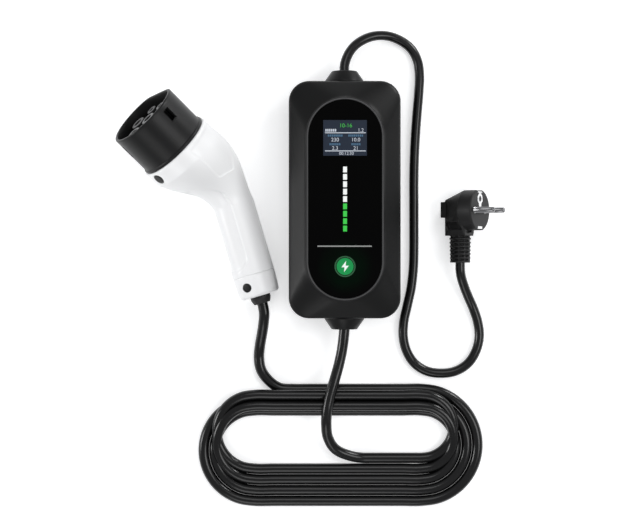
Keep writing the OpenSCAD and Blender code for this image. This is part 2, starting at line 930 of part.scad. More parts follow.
module end_ring() {
    color("#f2f2f2") {
        place_connector() difference() {
            union() {
                loft(ring_sections);
                loft([grip_section(grip_len - 8, grip_depth, grip_w),
                    grip_section(grip_len + 1, grip_depth, grip_w)], grip_wall + fit_gap);
            }
            loft([grip_section(grip_len - 9, grip_depth, grip_w),
                grip_section(grip_end - ring_floor_t, grip_depth, grip_w)],
                grip_wall + ring_wall);
            place_grip(grip_end) cylinder(r = bush_neck_r + fit_gap, h = 12, center = true);
            end_screw_frame() screw_pocket(cap_r - 1);
        }
    }
}

module cable_bushing() {
    color("#141414") {
        place_connector() place_grip(grip_end)
            rotate_extrude()
                polygon([
                    [charge_r + fit_gap / 2, -ring_floor_t - flange_t],
                    [bush_flange_r, -ring_floor_t - flange_t], [bush_flange_r, -ring_floor_t],
                    [bush_neck_r, -ring_floor_t], [bush_neck_r, 0], [bush_collar_r, 0],
                    [bush_collar_r, 3], [bush_collar_r - 1.6, bush_collar_len],
                    [charge_r + fit_gap / 2, bush_collar_len]
                ]);
    }
}

// Two jaws that hold the cable inside the end ring
module grip_clamp() {
    color("#303030") {
        place_connector() difference() {
            place_grip(end_screw_at) difference() {
                cylinder(r = jaw_r, h = jaw_l, center = true);
                cylinder(r = charge_r + fit_gap / 2, h = 2 * jaw_l, center = true);
                cube([2 * fit_gap, 3 * jaw_r, 2 * jaw_l], center = true);
            }
            end_screw_frame() translate([0, 0, -20]) cylinder(r = screw_r + fit_gap / 2, h = 20);
        }
    }
}

module connector_shroud() {
    color("#1c1c1c") {
        place_connector() difference() {
            union() {
                rod_x(0, shroud_len - shroud_edge, [0, 0], shroud_r);
                translate([shroud_len - shroud_edge, 0, 0]) rotate([0, 90, 0])
                    cylinder(r1 = shroud_r, r2 = shroud_r - shroud_edge, h = shroud_edge, $fn = 96);
                rod_x(0, lip_len, [0, 0], shroud_r + 1);
                rod_x(-spigot_len, 1, [0, 0], spigot_r);
            }
            rod_x(stop_t, shroud_len + 1, [0, 0], shroud_r - shroud_wall);
            rod_x(-stop_t, shroud_len, [0, 0], core_face_r + fit_gap);
            rod_x(-spigot_len - 1, -stop_t, [0, 0], spigot_r - spigot_wall);
            translate([lip_len, -shroud_r, shroud_flat]) cube([shroud_len, 2 * shroud_r, shroud_r]);
            translate([shroud_len - 17, -shroud_r - 2, -3.3])
                cube([12, 2 * shroud_r + 4, 6.6]);
            seal_groove(2.2, 1.6);
            head_screw_frame() translate([0, 0, -12]) cylinder(r = screw_r + fit_gap / 2, h = 12);
        }
        place_connector() intersection() {
            rod_x(stop_t - 1, shroud_len, [0, 0], shroud_r - 1);
            translate([stop_t - 1, -shroud_r, shroud_flat - shroud_wall])
                cube([shroud_len - stop_t + 1, 2 * shroud_r, shroud_wall]);
        }
    }
}

module seal_groove(w, depth) {
    tube_x(-3.5 - w / 2, -3.5 + w / 2, spigot_r + 1, spigot_r - depth);
}

module shroud_seal() {
    color("#2a2a2a") {
        place_connector() translate([-3.5, 0, 0]) rotate([0, 90, 0])
            rotate_extrude($fn = 96) translate([spigot_r - 0.75, 0]) circle(0.8, $fn = 16);
    }
}

module contact_carrier() {
    color("#1c1c1c") {
        place_connector() difference() {
            union() {
                rod_x(-stop_t - disc_t, -stop_t, [0, 0], carrier_r);
                rod_x(-stop_t - 1, core_front, [0, 0], core_face_r);
            }
            for (p = power_at) rod_x(-contact_back, tower_top, p, power_r + fit_gap / 2);
            for (p = signal_at) rod_x(-contact_back, tower_top, p, signal_r + fit_gap / 2);
            head_screw_frame() translate([0, 0, -12]) cylinder(r = screw_r + fit_gap / 2, h = 12);
        }
    }
}

// A tower round a contact, with a flared mouth that narrows in front of the contact's end
module tower(p, r, seat_r, mouth_r) {
    difference() {
        rod_x(core_front, tower_top, p, r);
        rod_x(0, tower_top - mouth_t, p, seat_r + fit_gap / 2);
        translate([tower_top - mouth_t - 0.5, p[0], p[1]]) rotate([0, 90, 0])
            cylinder(r1 = mouth_r, r2 = mouth_r + mouth_flare, h = mouth_t + 1, $fn = 32);
    }
}

module contact_towers() {
    color("#1c1c1c") {
        place_connector() {
            for (p = power_at) tower(p, power_tower_r, power_r, power_bore_r + 0.3);
            for (p = signal_at) tower(p, signal_tower_r, signal_r, signal_bore_r + 0.3);
            for (p = spare_at)
                difference() {
                    rod_x(core_front, tower_top, p, power_tower_r);
                    rod_x(core_front + 4, tower_top + 1, p, power_r);
                }
        }
    }
}

module contact_seal() {
    color("#8c3b2e") {
        place_connector() difference() {
            rod_x(-stop_t - disc_t - seal_t, -stop_t - disc_t, [0, 0], carrier_r);
            for (p = power_at) rod_x(-40, 0, p, power_r + fit_gap / 2);
            for (p = signal_at) rod_x(-40, 0, p, signal_r + fit_gap / 2);
        }
    }
}

module contact(p, r, bore_r, bore_len) {
    front = tower_top - mouth_t;
    difference() {
        rod_x(-contact_back, front, p, r);
        rod_x(front - bore_len, front + 1, p, bore_r);
    }
}

module power_contacts() {
    color("#c9c9cc") {
        place_connector() for (p = power_at) contact(p, power_r, power_bore_r, power_bore_len);
    }
}

module signal_contacts() {
    color("#c9c9cc") {
        place_connector() for (p = signal_at) contact(p, signal_r, signal_bore_r, signal_bore_len);
    }
}

module coding_board() {
    color("#1f5a36") {
        place_connector() difference() {
            translate([sink - contact_back, -signal_pitch / 2 - 4, signal_at[0][1] - 5])
                cube([board_t, signal_pitch + 8, 8]);
            for (p = signal_at) rod_x(-contact_back - 1, 0, p, signal_r + fit_gap / 2);
        }
    }
}

// Cores from the cable's end in the grip to the tails of the contacts
module connector_cores() {
    tails = concat(power_at, signal_at);
    turns = [180, 270, 0, 120, 60];
    color("#3a6ea5") {
        place_connector()
            for (i = [0:len(tails) - 1]) {
                p = tails[i];
                a = turns[i];
                end = along_grip(grip_len - cable_inset);
                run = along_grip(0) - along_grip(1);
                fan = [-sin(grip_angle) * sin(a), cos(a), cos(grip_angle) * sin(a)];
                cord([
                    [-contact_back, p[0], p[1]], [-contact_back - 8, p[0], p[1]],
                    [12 - head_len, 9 * cos(a), 2 + 7 * sin(a)],
                    end + 20 * run + 4 * fan,
                    end + 5 * run + 2.9 * fan,
                    end + 2.9 * fan
                ], i < 3 ? power_core_r : core_r, 6);
            }
    }
}

module head_screw() {
    color("#9a9a9a") {
        place_connector() head_screw_frame() capped_screw(7);
    }
}

module head_screw_cap() {
    color("#141414") {
        place_connector() head_screw_frame() translate([0, 0, -cap_t])
            cylinder(r = cap_r, h = cap_t);
    }
}

module end_screw() {
    color("#9a9a9a") {
        place_connector() end_screw_frame() capped_screw(8);
    }
}

module end_screw_cap() {
    color("#141414") {
        place_connector() end_screw_frame() translate([0, 0, -cap_t])
            cylinder(r = cap_r - 1, h = cap_t);
    }
}

// Mains plug, drawn with its pins along +X and its cord leaving along -Y
module place_plug() {
    translate([plug_x, plug_y, plug_lift]) rotate([0, -plug_tilt, 0]) children();
}

module plug_body() {
    color("#161616") {
        place_plug() difference() {
            union() {
                rod_x(-plug_front_t, -0.8, [0, 0], plug_r);
                translate([-0.8, 0, 0]) rotate([0, 90, 0])
                    cylinder(r1 = plug_r, r2 = plug_r - 0.8, h = 0.8);
                hull() {
                    rod_x(-plug_front_t - 1, -plug_front_t + 0.5, [0, 0], plug_r - 0.6);
                    block(thumb_t - plug_depth + 0.5, 0, 1 - plug_back_w / 2,
                        [1, plug_back_h, plug_back_w - 2]);
                    block(relief_x - 1, -neck_bottom + 1, -neck_half_w, [20, 2, 2 * neck_half_w]);
                }
                block((thumb_t + 1) / 2 - plug_depth, 0.5, -plug_back_w / 2,
                    [thumb_t + 1, plug_back_h - 4, plug_back_w]);
                relief();
            }
            for (s = [0, 1]) mirror([0, 0, s]) grip_recess();
            translate([-plate_t - 0.1, 0, 0]) rotate([90, 0, 90])
                linear_extrude(2) earth_plate_outline(fit_gap / 2);
            bridge_shape();
            for (s = [-1, 1]) {
                rod_x(-pin_root, 1, [0, s * pin_pitch / 2], pin_root_r);
                clip_notch(s);
            }
            rod_x(-earth_depth - 2, 1, [earth_rise, 0], earth_bore_r + earth_wall);
            translate([relief_x, -relief_start - 6, 0]) rotate([90, 0, 0])
                cylinder(r = mains_r + fit_gap / 2, h = relief_end, $fn = 32);
        }
    }
}

// Ribbed relief that tapers along the cord, with webs that cut its grooves into slots
module relief() {
    groove = 1.8;
    translate([relief_x, -relief_start, 0]) rotate([90, 0, 0]) {
        rotate_extrude($fn = 32)
            polygon(concat(
                [[0, 0], [relief_r, 0]],
                [for (i = [0:relief_ribs - 1])
                    let (k = i / (relief_ribs - 1), r = relief_r + (relief_tip_r - relief_r) * k,
                        y = relief_lead + i * rib_pitch)
                        each [[r - groove, y], [r - groove, y + rib_pitch * 0.45],
                            [r, y + rib_pitch * 0.55], [r, y + rib_pitch]]],
                [[0, relief_end - relief_start]]
            ));
        for (i = [0:relief_webs - 1])
            rotate(360 * i / relief_webs)
                translate([0, -0.6, 0])
                    cube([relief_tip_r - 0.3, 1.2, relief_end - relief_start - rib_pitch / 2]);
    }
}

// Slanted hollow for a fingertip, in the side that faces +Z
module grip_recess() {
    translate([0, 0, neck_half_w + 1.6 - recess_depth])
        linear_extrude(plug_r)
            polygon([[-30, -10.5], [-15.5, -10.5], [-12, -17], [-25.5, -17]]);
}

// The plate round the earth socket and the clips' feet, seen from the front
module earth_plate_outline(grow) {
    translate([earth_rise, 0]) rotate(22.5) circle(plate_r + grow, $fn = 8);
    translate([earth_rise - plate_r - 2 - grow, -2.2 - grow])
        square([plate_r, 4.4 + 2 * grow]);
    translate([earth_rise + 2, -clip_w / 4 - grow])
        square([clip_seat + clip_t - earth_rise - 2, clip_w / 2 + 2 * grow]);
    translate([-clip_seat - clip_t, -clip_w / 2 - grow])
        square([clip_foot + grow, clip_w + 2 * grow]);
}

module bridge_shape() {
    rod_x(-bridge_back, -bridge_back + bridge_t, [0, 0], bridge_r);
}

module clip_notch(s) {
    translate([-plug_front_t, s > 0 ? clip_seat : -plug_r - 1, -clip_w / 2 - 1])
        cube([plug_front_t + 1, plug_r - clip_seat + 1, clip_w + 2]);
}

module pin_bridge() {
    color("#d9d4c8") {
        place_plug() difference() {
            bridge_shape();
            for (s = [-1, 1]) rod_x(-pin_root, 1, [0, s * pin_pitch / 2], pin_root_r);
            rod_x(-plug_depth, 1, [earth_rise, 0], earth_bore_r + earth_wall);
        }
    }
}

module mains_pins() {
    color("#cfcfd2") {
        place_plug() for (s = [-1, 1]) {
            rod_x(-pin_root, 0, [0, s * pin_pitch / 2], pin_root_r);
            rod_x(-sink, pin_len - 1, [0, s * pin_pitch / 2], pin_r);
            translate([pin_len - 1, 0, s * pin_pitch / 2]) rotate([0, 90, 0])
                cylinder(r1 = pin_r, r2 = pin_r - 0.8, h = 1, $fn = 32);
        }
    }
}

module earth_clips() {
    color("#cfcfd2") {
        place_plug() difference() {
            union() {
                for (y = [clip_seat, -clip_seat - clip_t])
                    translate([-plug_front_t + 0.5, y, -clip_w / 2])
                        cube([plug_front_t - 0.6, clip_t, clip_w]);
                translate([-plate_t - 0.1, 0, 0]) rotate([90, 0, 90])
                    linear_extrude(plate_t) earth_plate_outline(0);
            }
            rod_x(-earth_depth, 1, [earth_rise, 0], earth_bore_r + earth_wall + fit_gap / 2);
        }
    }
}

module earth_socket() {
    color("#cfcfd2") {
        place_plug() difference() {
            rod_x(-earth_depth - 2, 0, [earth_rise, 0], earth_bore_r + earth_wall);
            rod_x(-earth_depth, 1, [earth_rise, 0], earth_bore_r);
        }
    }
}

// Cables
module mains_lead() {
    color("#1a1a1a") {
        plug_entry = [plug_x + relief_x * cos(plug_tilt), plug_y, plug_lift + relief_x * sin(plug_tilt)];
        cord(concat(
            [[0, stub_y, gland_z]], mains_route,
            [for (y = [relief_end + 6, relief_end, relief_start + 8]) plug_entry - [0, y, 0]]
        ), mains_r);
    }
}

module charge_lead_box_side() {
    color("#1a1a1a") {
        cord(concat([[0, -stub_y, gland_z]], charge_box_route), charge_r);
    }
}

module charge_coil() {
    color("#1a1a1a") {
        translate([coil_x, coil_y, 0])
            linear_extrude(coil_h)
                rotate(90) difference() {
                    stadium(coil_w, coil_l);
                    translate([(coil_w - coil_gap_w) / 2 - near_bunch_w, 0])
                        stadium(coil_gap_w, coil_l - 2 * coil_bend_l);
                }
    }
}

module charge_lead_connector_side() {
    color("#1a1a1a") {
        cord(concat(
            [for (t = [grip_len - cable_inset, grip_end, grip_end + bush_collar_len]) out_of_grip(t)],
            charge_handle_route
        ), charge_r);
    }
}

// A point on the grip's axis, in the layout's frame
function out_of_grip(t) =
    let (p = along_grip(t), c = cos(gun_yaw), s = sin(gun_yaw),
        h = p[0] * cos(gun_pitch) - p[2] * cos(gun_roll) * sin(gun_pitch),
        k = -p[2] * sin(gun_roll))
        [gun_x + h * c - k * s, gun_y + h * s + k * c, gun_lift + height_of(p)];

back_case();
front_case();
case_gasket();
case_screws();
front_panel();
display_module();
display_board();
display_screws();
charge_bar();
touch_key();
key_ring();
main_board();
board_screws();
power_relays();
supply_module();
smoothing_capacitor();
current_sensor();
fuse();
buzzer();
mains_terminals();
output_terminals();
mains_cores();
output_cores();
ribbon_cable();
top_gland();
bottom_gland();
cord_clamps();
clamp_screws();
grip_housing();
end_ring();
cable_bushing();
grip_clamp();
connector_shroud();
shroud_seal();
contact_carrier();
contact_towers();
contact_seal();
power_contacts();
signal_contacts();
coding_board();
connector_cores();
head_screw();
head_screw_cap();
end_screw();
end_screw_cap();
plug_body();
pin_bridge();
mains_pins();
earth_clips();
earth_socket();
mains_lead();
charge_lead_box_side();
charge_coil();
charge_lead_connector_side();
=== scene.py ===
# Portable charging lead for an electric car, laid out on a pale table
import bpy
import bmesh
import json
from math import pi, sin, cos, sqrt, exp, log, radians, degrees
from mathutils import Vector, Matrix


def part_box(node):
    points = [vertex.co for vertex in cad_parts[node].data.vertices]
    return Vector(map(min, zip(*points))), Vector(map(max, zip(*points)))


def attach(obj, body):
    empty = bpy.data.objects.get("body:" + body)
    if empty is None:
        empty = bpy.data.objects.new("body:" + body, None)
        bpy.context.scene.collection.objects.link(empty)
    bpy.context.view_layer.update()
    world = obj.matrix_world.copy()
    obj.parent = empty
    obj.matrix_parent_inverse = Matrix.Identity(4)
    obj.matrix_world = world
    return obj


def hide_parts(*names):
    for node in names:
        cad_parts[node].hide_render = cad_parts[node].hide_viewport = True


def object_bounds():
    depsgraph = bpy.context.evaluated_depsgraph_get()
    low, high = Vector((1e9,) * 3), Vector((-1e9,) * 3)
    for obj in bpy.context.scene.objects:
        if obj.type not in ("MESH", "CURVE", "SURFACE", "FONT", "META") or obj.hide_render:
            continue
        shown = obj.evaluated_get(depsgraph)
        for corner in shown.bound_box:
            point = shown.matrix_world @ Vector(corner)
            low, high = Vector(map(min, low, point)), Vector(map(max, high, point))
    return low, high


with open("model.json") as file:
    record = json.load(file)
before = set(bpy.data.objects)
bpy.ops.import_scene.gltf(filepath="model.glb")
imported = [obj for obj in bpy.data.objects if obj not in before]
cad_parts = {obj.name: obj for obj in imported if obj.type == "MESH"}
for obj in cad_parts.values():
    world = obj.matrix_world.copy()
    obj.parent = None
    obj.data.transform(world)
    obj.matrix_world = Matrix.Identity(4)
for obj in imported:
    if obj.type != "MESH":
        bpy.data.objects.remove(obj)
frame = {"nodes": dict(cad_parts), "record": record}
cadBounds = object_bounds()
print("frame loaded:", len(frame["nodes"]), "nodes")

mm = 0.001


def frameBox(node):
    # a frame node's lowest and highest corners, in millimetres
    return [tuple(round(c / mm, 4) for c in corner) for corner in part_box(node)]


# What the rest is fitted to
caseLow, caseHigh = frameBox("front_case")
panelLow, panelHigh = frameBox("front_panel")
displayLow, displayHigh = frameBox("display_module")
keyLow, keyHigh = frameBox("touch_key")
displayY = (displayLow[1] + displayHigh[1]) / 2
keyY = (keyLow[1] + keyHigh[1]) / 2

# The cords' diameters, and how much wider the bores that hold them are
cordSize = {"mains": 8.5, "charge": 9.5, "clearance": 0.05}


def cordBore(cord):
    return cordSize[cord] / 2 + cordSize["clearance"]


def ease(t):
    t = min(max(t, 0), 1)
    return t * t * (3 - 2 * t)


def mixed(a, b, t):
    return a + (b - a) * t


# Making objects, meshes and shader nodes
def addObject(name, data):
    obj = bpy.data.objects.new(name, data)
    bpy.context.scene.collection.objects.link(obj)
    return obj


def meshFrom(bm, name):
    mesh = bpy.data.meshes.new(name)
    bm.to_mesh(mesh)
    bm.free()
    return mesh


def startMaterial(name):
    material = bpy.data.materials.new(name)
    material.use_nodes = True
    tree = material.node_tree
    return material, tree, tree.nodes["Principled BSDF"]


def feed(tree, node, inputs):
    # each input is linked to another node's output, or set to a plain value
    for key, source in inputs.items():
        if isinstance(source, bpy.types.NodeSocket):
            tree.links.new(source, node.inputs[key])
        else:
            node.inputs[key].default_value = source


def addNode(tree, kind, inputs, **settings):
    node = tree.nodes.new("ShaderNode" + kind)
    for setting, value in settings.items():
        setattr(node, setting, value)
    feed(tree, node, inputs)
    return node


def objectPlace(tree):
    return addNode(tree, "TexCoord", {}).outputs["Object"]


def mixColours(tree, factor, first, second):
    mix = addNode(tree, "Mix", {"Factor": factor, "A": first, "B": second}, data_type="RGBA")
    return mix.outputs["Result"]


# Camera, table and light
view = {
    "imageWidth": 617,
    "metresPerPixel": 0.00088,
    "centreX": -0.0317,      # what lies at the middle of the picture
    "centreY": -0.0572,
    "focusZ": 0.030,         # the height at which the scale holds
    "lens": 105,
    "sensor": 36,
    "farthest": 20,
}
table = {
    "reach": 3.0, "drop": 0.0002, "colour": (0.9, 0.905, 0.91), "roughness": 0.9, "shine": 0.1,
    "glow": 0.42,
}
lamps = [
    # name, place, size, watts
    ("keyLamp", (-1.35, -0.08, 0.5), 0.5, 6.6),
    ("topLamp", (0.1, 0.75, 1.5), 0.9, 4.2),
    ("fillLamp", (1.0, -0.1, 1.35), 0.9, 8.4),
    ("footLamp", (-0.2, -1.2, 0.9), 0.8, 3.6),
    ("cornerLamp", (0.95, 0.95, 0.38), 0.35, 6.2),
]
worldLight = {"colour": (0.94, 0.95, 0.97), "strength": 0.45}


def makeCamera():
    width = view["imageWidth"] * view["metresPerPixel"]
    distance = width * view["lens"] / view["sensor"]
    data = bpy.data.cameras.new("camera")
    data.lens = view["lens"]
    data.sensor_width = view["sensor"]
    data.clip_end = view["farthest"]
    camera = addObject("camera", data)
    camera.location = (view["centreX"], view["centreY"], view["focusZ"] + distance)
    bpy.context.scene.camera = camera


def makeTable():
    bm = bmesh.new()
    bmesh.ops.create_grid(bm, x_segments=1, y_segments=1, size=table["reach"])
    obj = addObject("table", meshFrom(bm, "table"))
    obj.location.z = cadBounds[0][2] - table["drop"]
    material, tree, shader = startMaterial("paleTable")
    feed(tree, shader, {"Base Color": (*table["colour"], 1), "Roughness": table["roughness"],
                        "Specular IOR Level": table["shine"]})
    # the table glows a little to the camera, and in what mirrors it, so that it reads as white paper
    path = addNode(tree, "LightPath", {})
    seen = addNode(tree, "Math", {0: path.outputs["Is Camera Ray"], 1: path.outputs["Is Glossy Ray"]},
                   operation="MAXIMUM")
    strength = addNode(tree, "Math", {0: seen.outputs[0], 1: table["glow"]}, operation="MULTIPLY")
    glow = addNode(tree, "Emission", {"Color": (1, 1, 1, 1), "Strength": strength.outputs[0]})
    both = addNode(tree, "AddShader", {0: shader.outputs[0], 1: glow.outputs[0]})
    feed(tree, tree.nodes["Material Output"], {"Surface": both.outputs[0]})
    obj.data.materials.append(material)


def makeLamps():
    middle = Vector((view["centreX"], view["centreY"], 0))
    for name, place, size, watts in lamps:
        data = bpy.data.lights.new(name, "AREA")
        data.shape = "DISK"
        data.size = size
        data.energy = watts
        lamp = addObject(name, data)
        lamp.location = place
        lamp.rotation_euler = (middle - Vector(place)).to_track_quat("-Z", "Y").to_euler()
    world = bpy.data.worlds.new("room")
    world.use_nodes = True
    feed(world.node_tree, world.node_tree.nodes["Background"],
         {"Color": (*worldLight["colour"], 1), "Strength": worldLight["strength"]})
    bpy.context.scene.world = world
    bpy.context.scene.view_settings.view_transform = "Standard"


makeCamera()
makeTable()
makeLamps()
print("camera, table and lamps ready")


# Shared effects
moulding = {"grainDetail": 3, "grainRoughness": 0.6, "grainHeight": 0.0004, "cloudDetail": 4}


def makeGroup(name, inputs, outputs):
    group = bpy.data.node_groups.new(name, "ShaderNodeTree")
    for label, kind, value in inputs:
        socket = group.interface.new_socket(name=label, in_out="INPUT", socket_type=kind)
        socket.default_value = value
    for label, kind in outputs:
        group.interface.new_socket(name=label, in_out="OUTPUT", socket_type=kind)
    return group, group.nodes.new("NodeGroupInput"), group.nodes.new("NodeGroupOutput")


def makeGrainGroup():
    # fine moulded grain, as a bumped normal
    group, start, end = makeGroup(
        "mouldedGrain",
        [("Scale", "NodeSocketFloat", 900.0), ("Depth", "NodeSocketFloat", 0.2)],
        [("Normal", "NodeSocketVector")])
    noise = addNode(group, "TexNoise", {
        "Vector": objectPlace(group), "Scale": start.outputs["Scale"],
        "Detail": moulding["grainDetail"], "Roughness": moulding["grainRoughness"]})
    bump = addNode(group, "Bump", {
        "Height": noise.outputs["Fac"], "Strength": start.outputs["Depth"],
        "Distance": moulding["grainHeight"]})
    feed(group, end, {"Normal": bump.outputs["Normal"]})
    return group


def makeHandlingGroup():
    # slow cloudy change of colour and gloss, as from moulding and handling
    group, start, end = makeGroup(
        "handlingClouds",
        [("Dark", "NodeSocketColor", (0, 0, 0, 1)), ("Light", "NodeSocketColor", (1, 1, 1, 1)),
         ("Scale", "NodeSocketFloat", 30.0), ("Smooth", "NodeSocketFloat", 0.3),
         ("Rough", "NodeSocketFloat", 0.4)],
        [("Color", "NodeSocketColor"), ("Roughness", "NodeSocketFloat")])
    noise = addNode(group, "TexNoise", {
        "Vector": objectPlace(group), "Scale": start.outputs["Scale"],
        "Detail": moulding["cloudDetail"]})
    colour = mixColours(group, noise.outputs["Fac"], start.outputs["Dark"], start.outputs["Light"])
    spread = addNode(group, "MapRange", {
        "Value": noise.outputs["Fac"], "To Min": start.outputs["Smooth"],
        "To Max": start.outputs["Rough"]})
    feed(group, end, {"Color": colour, "Roughness": spread.outputs["Result"]})
    return group


grainGroup = makeGrainGroup()
handlingGroup = makeHandlingGroup()


def addGrain(tree, shader, scale, depth):
    grain = addNode(tree, "Group", {"Scale": scale, "Depth": depth}, node_tree=grainGroup)
    feed(tree, shader, {"Normal": grain.outputs["Normal"]})


def addClouds(tree, shader, finish):
    # the clouds set how rough the shader is, and their colour is handed back
    smooth, rough = finish["gloss"]
    clouds = addNode(tree, "Group", {
        "Dark": (*finish["dark"], 1), "Light": (*finish["light"], 1), "Scale": finish["clouds"],
        "Smooth": smooth, "Rough": rough}, node_tree=handlingGroup)
    feed(tree, shader, {"Roughness": clouds.outputs["Roughness"]})
    return clouds.outputs["Color"]


def distanceFrom(tree, centre):
    # how far each point of the surface lies from a place that is given in millimetres
    about = addNode(tree, "Mapping", {
        "Vector": objectPlace(tree), "Location": [-c * mm for c in centre]})
    ray = addNode(tree, "VectorMath", {0: about.outputs["Vector"]}, operation="LENGTH")
    return ray.outputs["Value"]


def shineIn(tree, shader, colour, strength):
    # the surface sends out light of its own colour
    feed(tree, shader, {"Base Color": colour, "Emission Color": colour, "Emission Strength": strength})


# Finishes: the two colours that a surface drifts between, the size of the drift, how rough it is,
# the scale and depth of its grain, and how strongly it mirrors where that isn't the usual 0.5
finishes = {
    "caseBlack": {"dark": (0.0042, 0.0043, 0.0044), "light": (0.006, 0.0061, 0.0062),
                  "clouds": 25, "gloss": (0.35, 0.4), "grain": (1500, 0.1), "shine": 0.2},
    # painted highlight: a lighter grey for the crest of the panel's rim, where it would catch the
    # light
    "rimPaintedHighlight": {"dark": (0.04, 0.04, 0.041), "light": (0.052, 0.052, 0.053),
                 "clouds": 40, "gloss": (0.3, 0.4), "grain": (1500, 0.08), "shine": 0.4},
    "handleWhite": {"dark": (0.84, 0.843, 0.847), "light": (0.88, 0.882, 0.885),
                    "clouds": 18, "gloss": (0.26, 0.34), "grain": (700, 0.03)},
    "shroudBlack": {"dark": (0.0065, 0.0065, 0.0067), "light": (0.009, 0.009, 0.0092),
                    "clouds": 30, "gloss": (0.34, 0.4), "grain": (1300, 0.1), "shine": 0.2},
    # painted highlight: a lighter grey for the towers' rims, where they would catch the light
    "towerRimHighlight": {"dark": (0.1, 0.1, 0.102), "light": (0.13, 0.13, 0.132),
                 "clouds": 60, "gloss": (0.3, 0.4), "grain": (1300, 0.1)},
    "plugBlack": {"dark": (0.007, 0.007, 0.0072), "light": (0.011, 0.011, 0.0113),
                  "clouds": 400, "gloss": (0.42, 0.52), "grain": (1400, 0.22), "shine": 0.28},
    "rubberBlack": {"dark": (0.008, 0.008, 0.0082), "light": (0.012, 0.012, 0.0122),
                    "clouds": 60, "gloss": (0.48, 0.6), "grain": (1200, 0.2), "shine": 0.35},
    "cableBlack": {"dark": (0.0025, 0.0025, 0.0026), "light": (0.0045, 0.0045, 0.0047),
                   "clouds": 35, "gloss": (0.17, 0.23), "grain": (1100, 0.06), "shine": 0.36},
    "pinChrome": {"dark": (0.2, 0.2, 0.205), "light": (0.27, 0.27, 0.275),
                  "clouds": 150, "gloss": (0.12, 0.2), "grain": (2000, 0.04)},
    "sealRed": {"dark": (0.24, 0.05, 0.035), "light": (0.3, 0.065, 0.045),
                "clouds": 60, "gloss": (0.55, 0.65), "grain": (900, 0.15)},
    "coreSleeve": {"dark": (0.08, 0.17, 0.36), "light": (0.11, 0.22, 0.43),
                   "clouds": 60, "gloss": (0.35, 0.45), "grain": (900, 0.1)},
    "boardGreen": {"dark": (0.015, 0.1, 0.04), "light": (0.025, 0.14, 0.06),
                   "clouds": 120, "gloss": (0.3, 0.4), "grain": (1600, 0.2)},
    "componentDark": {"dark": (0.02, 0.03, 0.05), "light": (0.03, 0.045, 0.07),
                      "clouds": 70, "gloss": (0.35, 0.5), "grain": (1300, 0.15)},
    "terminalGreen": {"dark": (0.03, 0.22, 0.08), "light": (0.05, 0.28, 0.11),
                      "clouds": 70, "gloss": (0.4, 0.5), "grain": (1300, 0.15)},
    "insulatorPale": {"dark": (0.55, 0.51, 0.43), "light": (0.64, 0.6, 0.52),
                      "clouds": 70, "gloss": (0.45, 0.55), "grain": (1300, 0.15)},
    "screwSteel": {"dark": (0.42, 0.42, 0.43), "light": (0.56, 0.56, 0.57),
                   "clouds": 200, "gloss": (0.25, 0.4), "grain": (2400, 0.15)},
    "contactMetal": {"dark": (0.8, 0.8, 0.805), "light": (0.9, 0.9, 0.905),
                     "clouds": 150, "gloss": (0.34, 0.42), "grain": (2000, 0.05)},
}
metals = ("screwSteel", "contactMetal", "pinChrome")


def plainFinish(name):
    finish = finishes[name]
    material, tree, shader = startMaterial(name)
    feed(tree, shader, {
        "Base Color": addClouds(tree, shader, finish), "Metallic": int(name in metals),
        "Specular IOR Level": finish.get("shine", 0.5)})
    addGrain(tree, shader, *finish["grain"])
    return material


# The charge bar's upper segments shine white and the lower ones green
chargeBar = {"whiteFrom": -3.2, "white": (0.78, 0.8, 0.79), "green": (0.03, 0.5, 0.05),
             "strength": 0.16, "roughness": 0.3, "grain": (800, 0.02)}


def chargeBarFinish():
    material, tree, shader = startMaterial("chargeBarLight")
    split = addNode(tree, "SeparateXYZ", {0: objectPlace(tree)})
    step = addNode(tree, "Math", {0: split.outputs["Y"], 1: chargeBar["whiteFrom"] * mm},
                   operation="GREATER_THAN")
    colour = mixColours(tree, step.outputs[0], (*chargeBar["green"], 1), (*chargeBar["white"], 1))
    shineIn(tree, shader, colour, chargeBar["strength"])
    feed(tree, shader, {"Roughness": chargeBar["roughness"]})
    addGrain(tree, shader, *chargeBar["grain"])
    return material


# Surfaces that are lit from behind, a little unevenly: colour and strength
backlight = {"darker": 0.85, "clouds": 140, "gloss": (0.3, 0.36), "shine": 0.2}
litColours = {
    "displayGlass": ((0.011, 0.017, 0.03), 0.3),
    "displayWhite": ((0.5, 0.54, 0.6), 0.15),
    "displayBlue": ((0.06, 0.13, 0.21), 0.2),
    "displayGreen": ((0.05, 0.4, 0.06), 0.2),
    "ringGreen": ((0.03, 0.11, 0.05), 0.1),
    "printWhite": ((0.28, 0.29, 0.28), 0.05),
    "boltWhite": ((0.8, 0.88, 0.84), 0.1),
}


def litFinish(name, colour, strength):
    material, tree, shader = startMaterial(name)
    dark = [c * backlight["darker"] for c in colour]
    drift = addClouds(tree, shader, {**backlight, "dark": dark, "light": colour})
    shineIn(tree, shader, drift, strength)
    feed(tree, shader, {"Specular IOR Level": backlight["shine"]})
    return material


# The key shines green up to a dark margin
keyDisc = {"litRadius": 7.2, "fade": 0.3, "green": (0.008, 0.25, 0.062),
           "margin": (0.001, 0.004, 0.002), "strength": 0.1, "roughness": 0.3, "shine": 0.2,
           "grain": (700, 0.03)}


def keyFinish():
    material, tree, shader = startMaterial("keyGreen")
    margin = addNode(tree, "MapRange", {
        "Value": distanceFrom(tree, (0, keyY, keyHigh[2])), "From Min": keyDisc["litRadius"] * mm,
        "From Max": (keyDisc["litRadius"] + keyDisc["fade"]) * mm})
    tint = mixColours(tree, margin.outputs["Result"], (*keyDisc["green"], 1), (*keyDisc["margin"], 1))
    shineIn(tree, shader, tint, keyDisc["strength"])
    feed(tree, shader, {"Roughness": keyDisc["roughness"], "Specular IOR Level": keyDisc["shine"]})
    addGrain(tree, shader, *keyDisc["grain"])
    return material


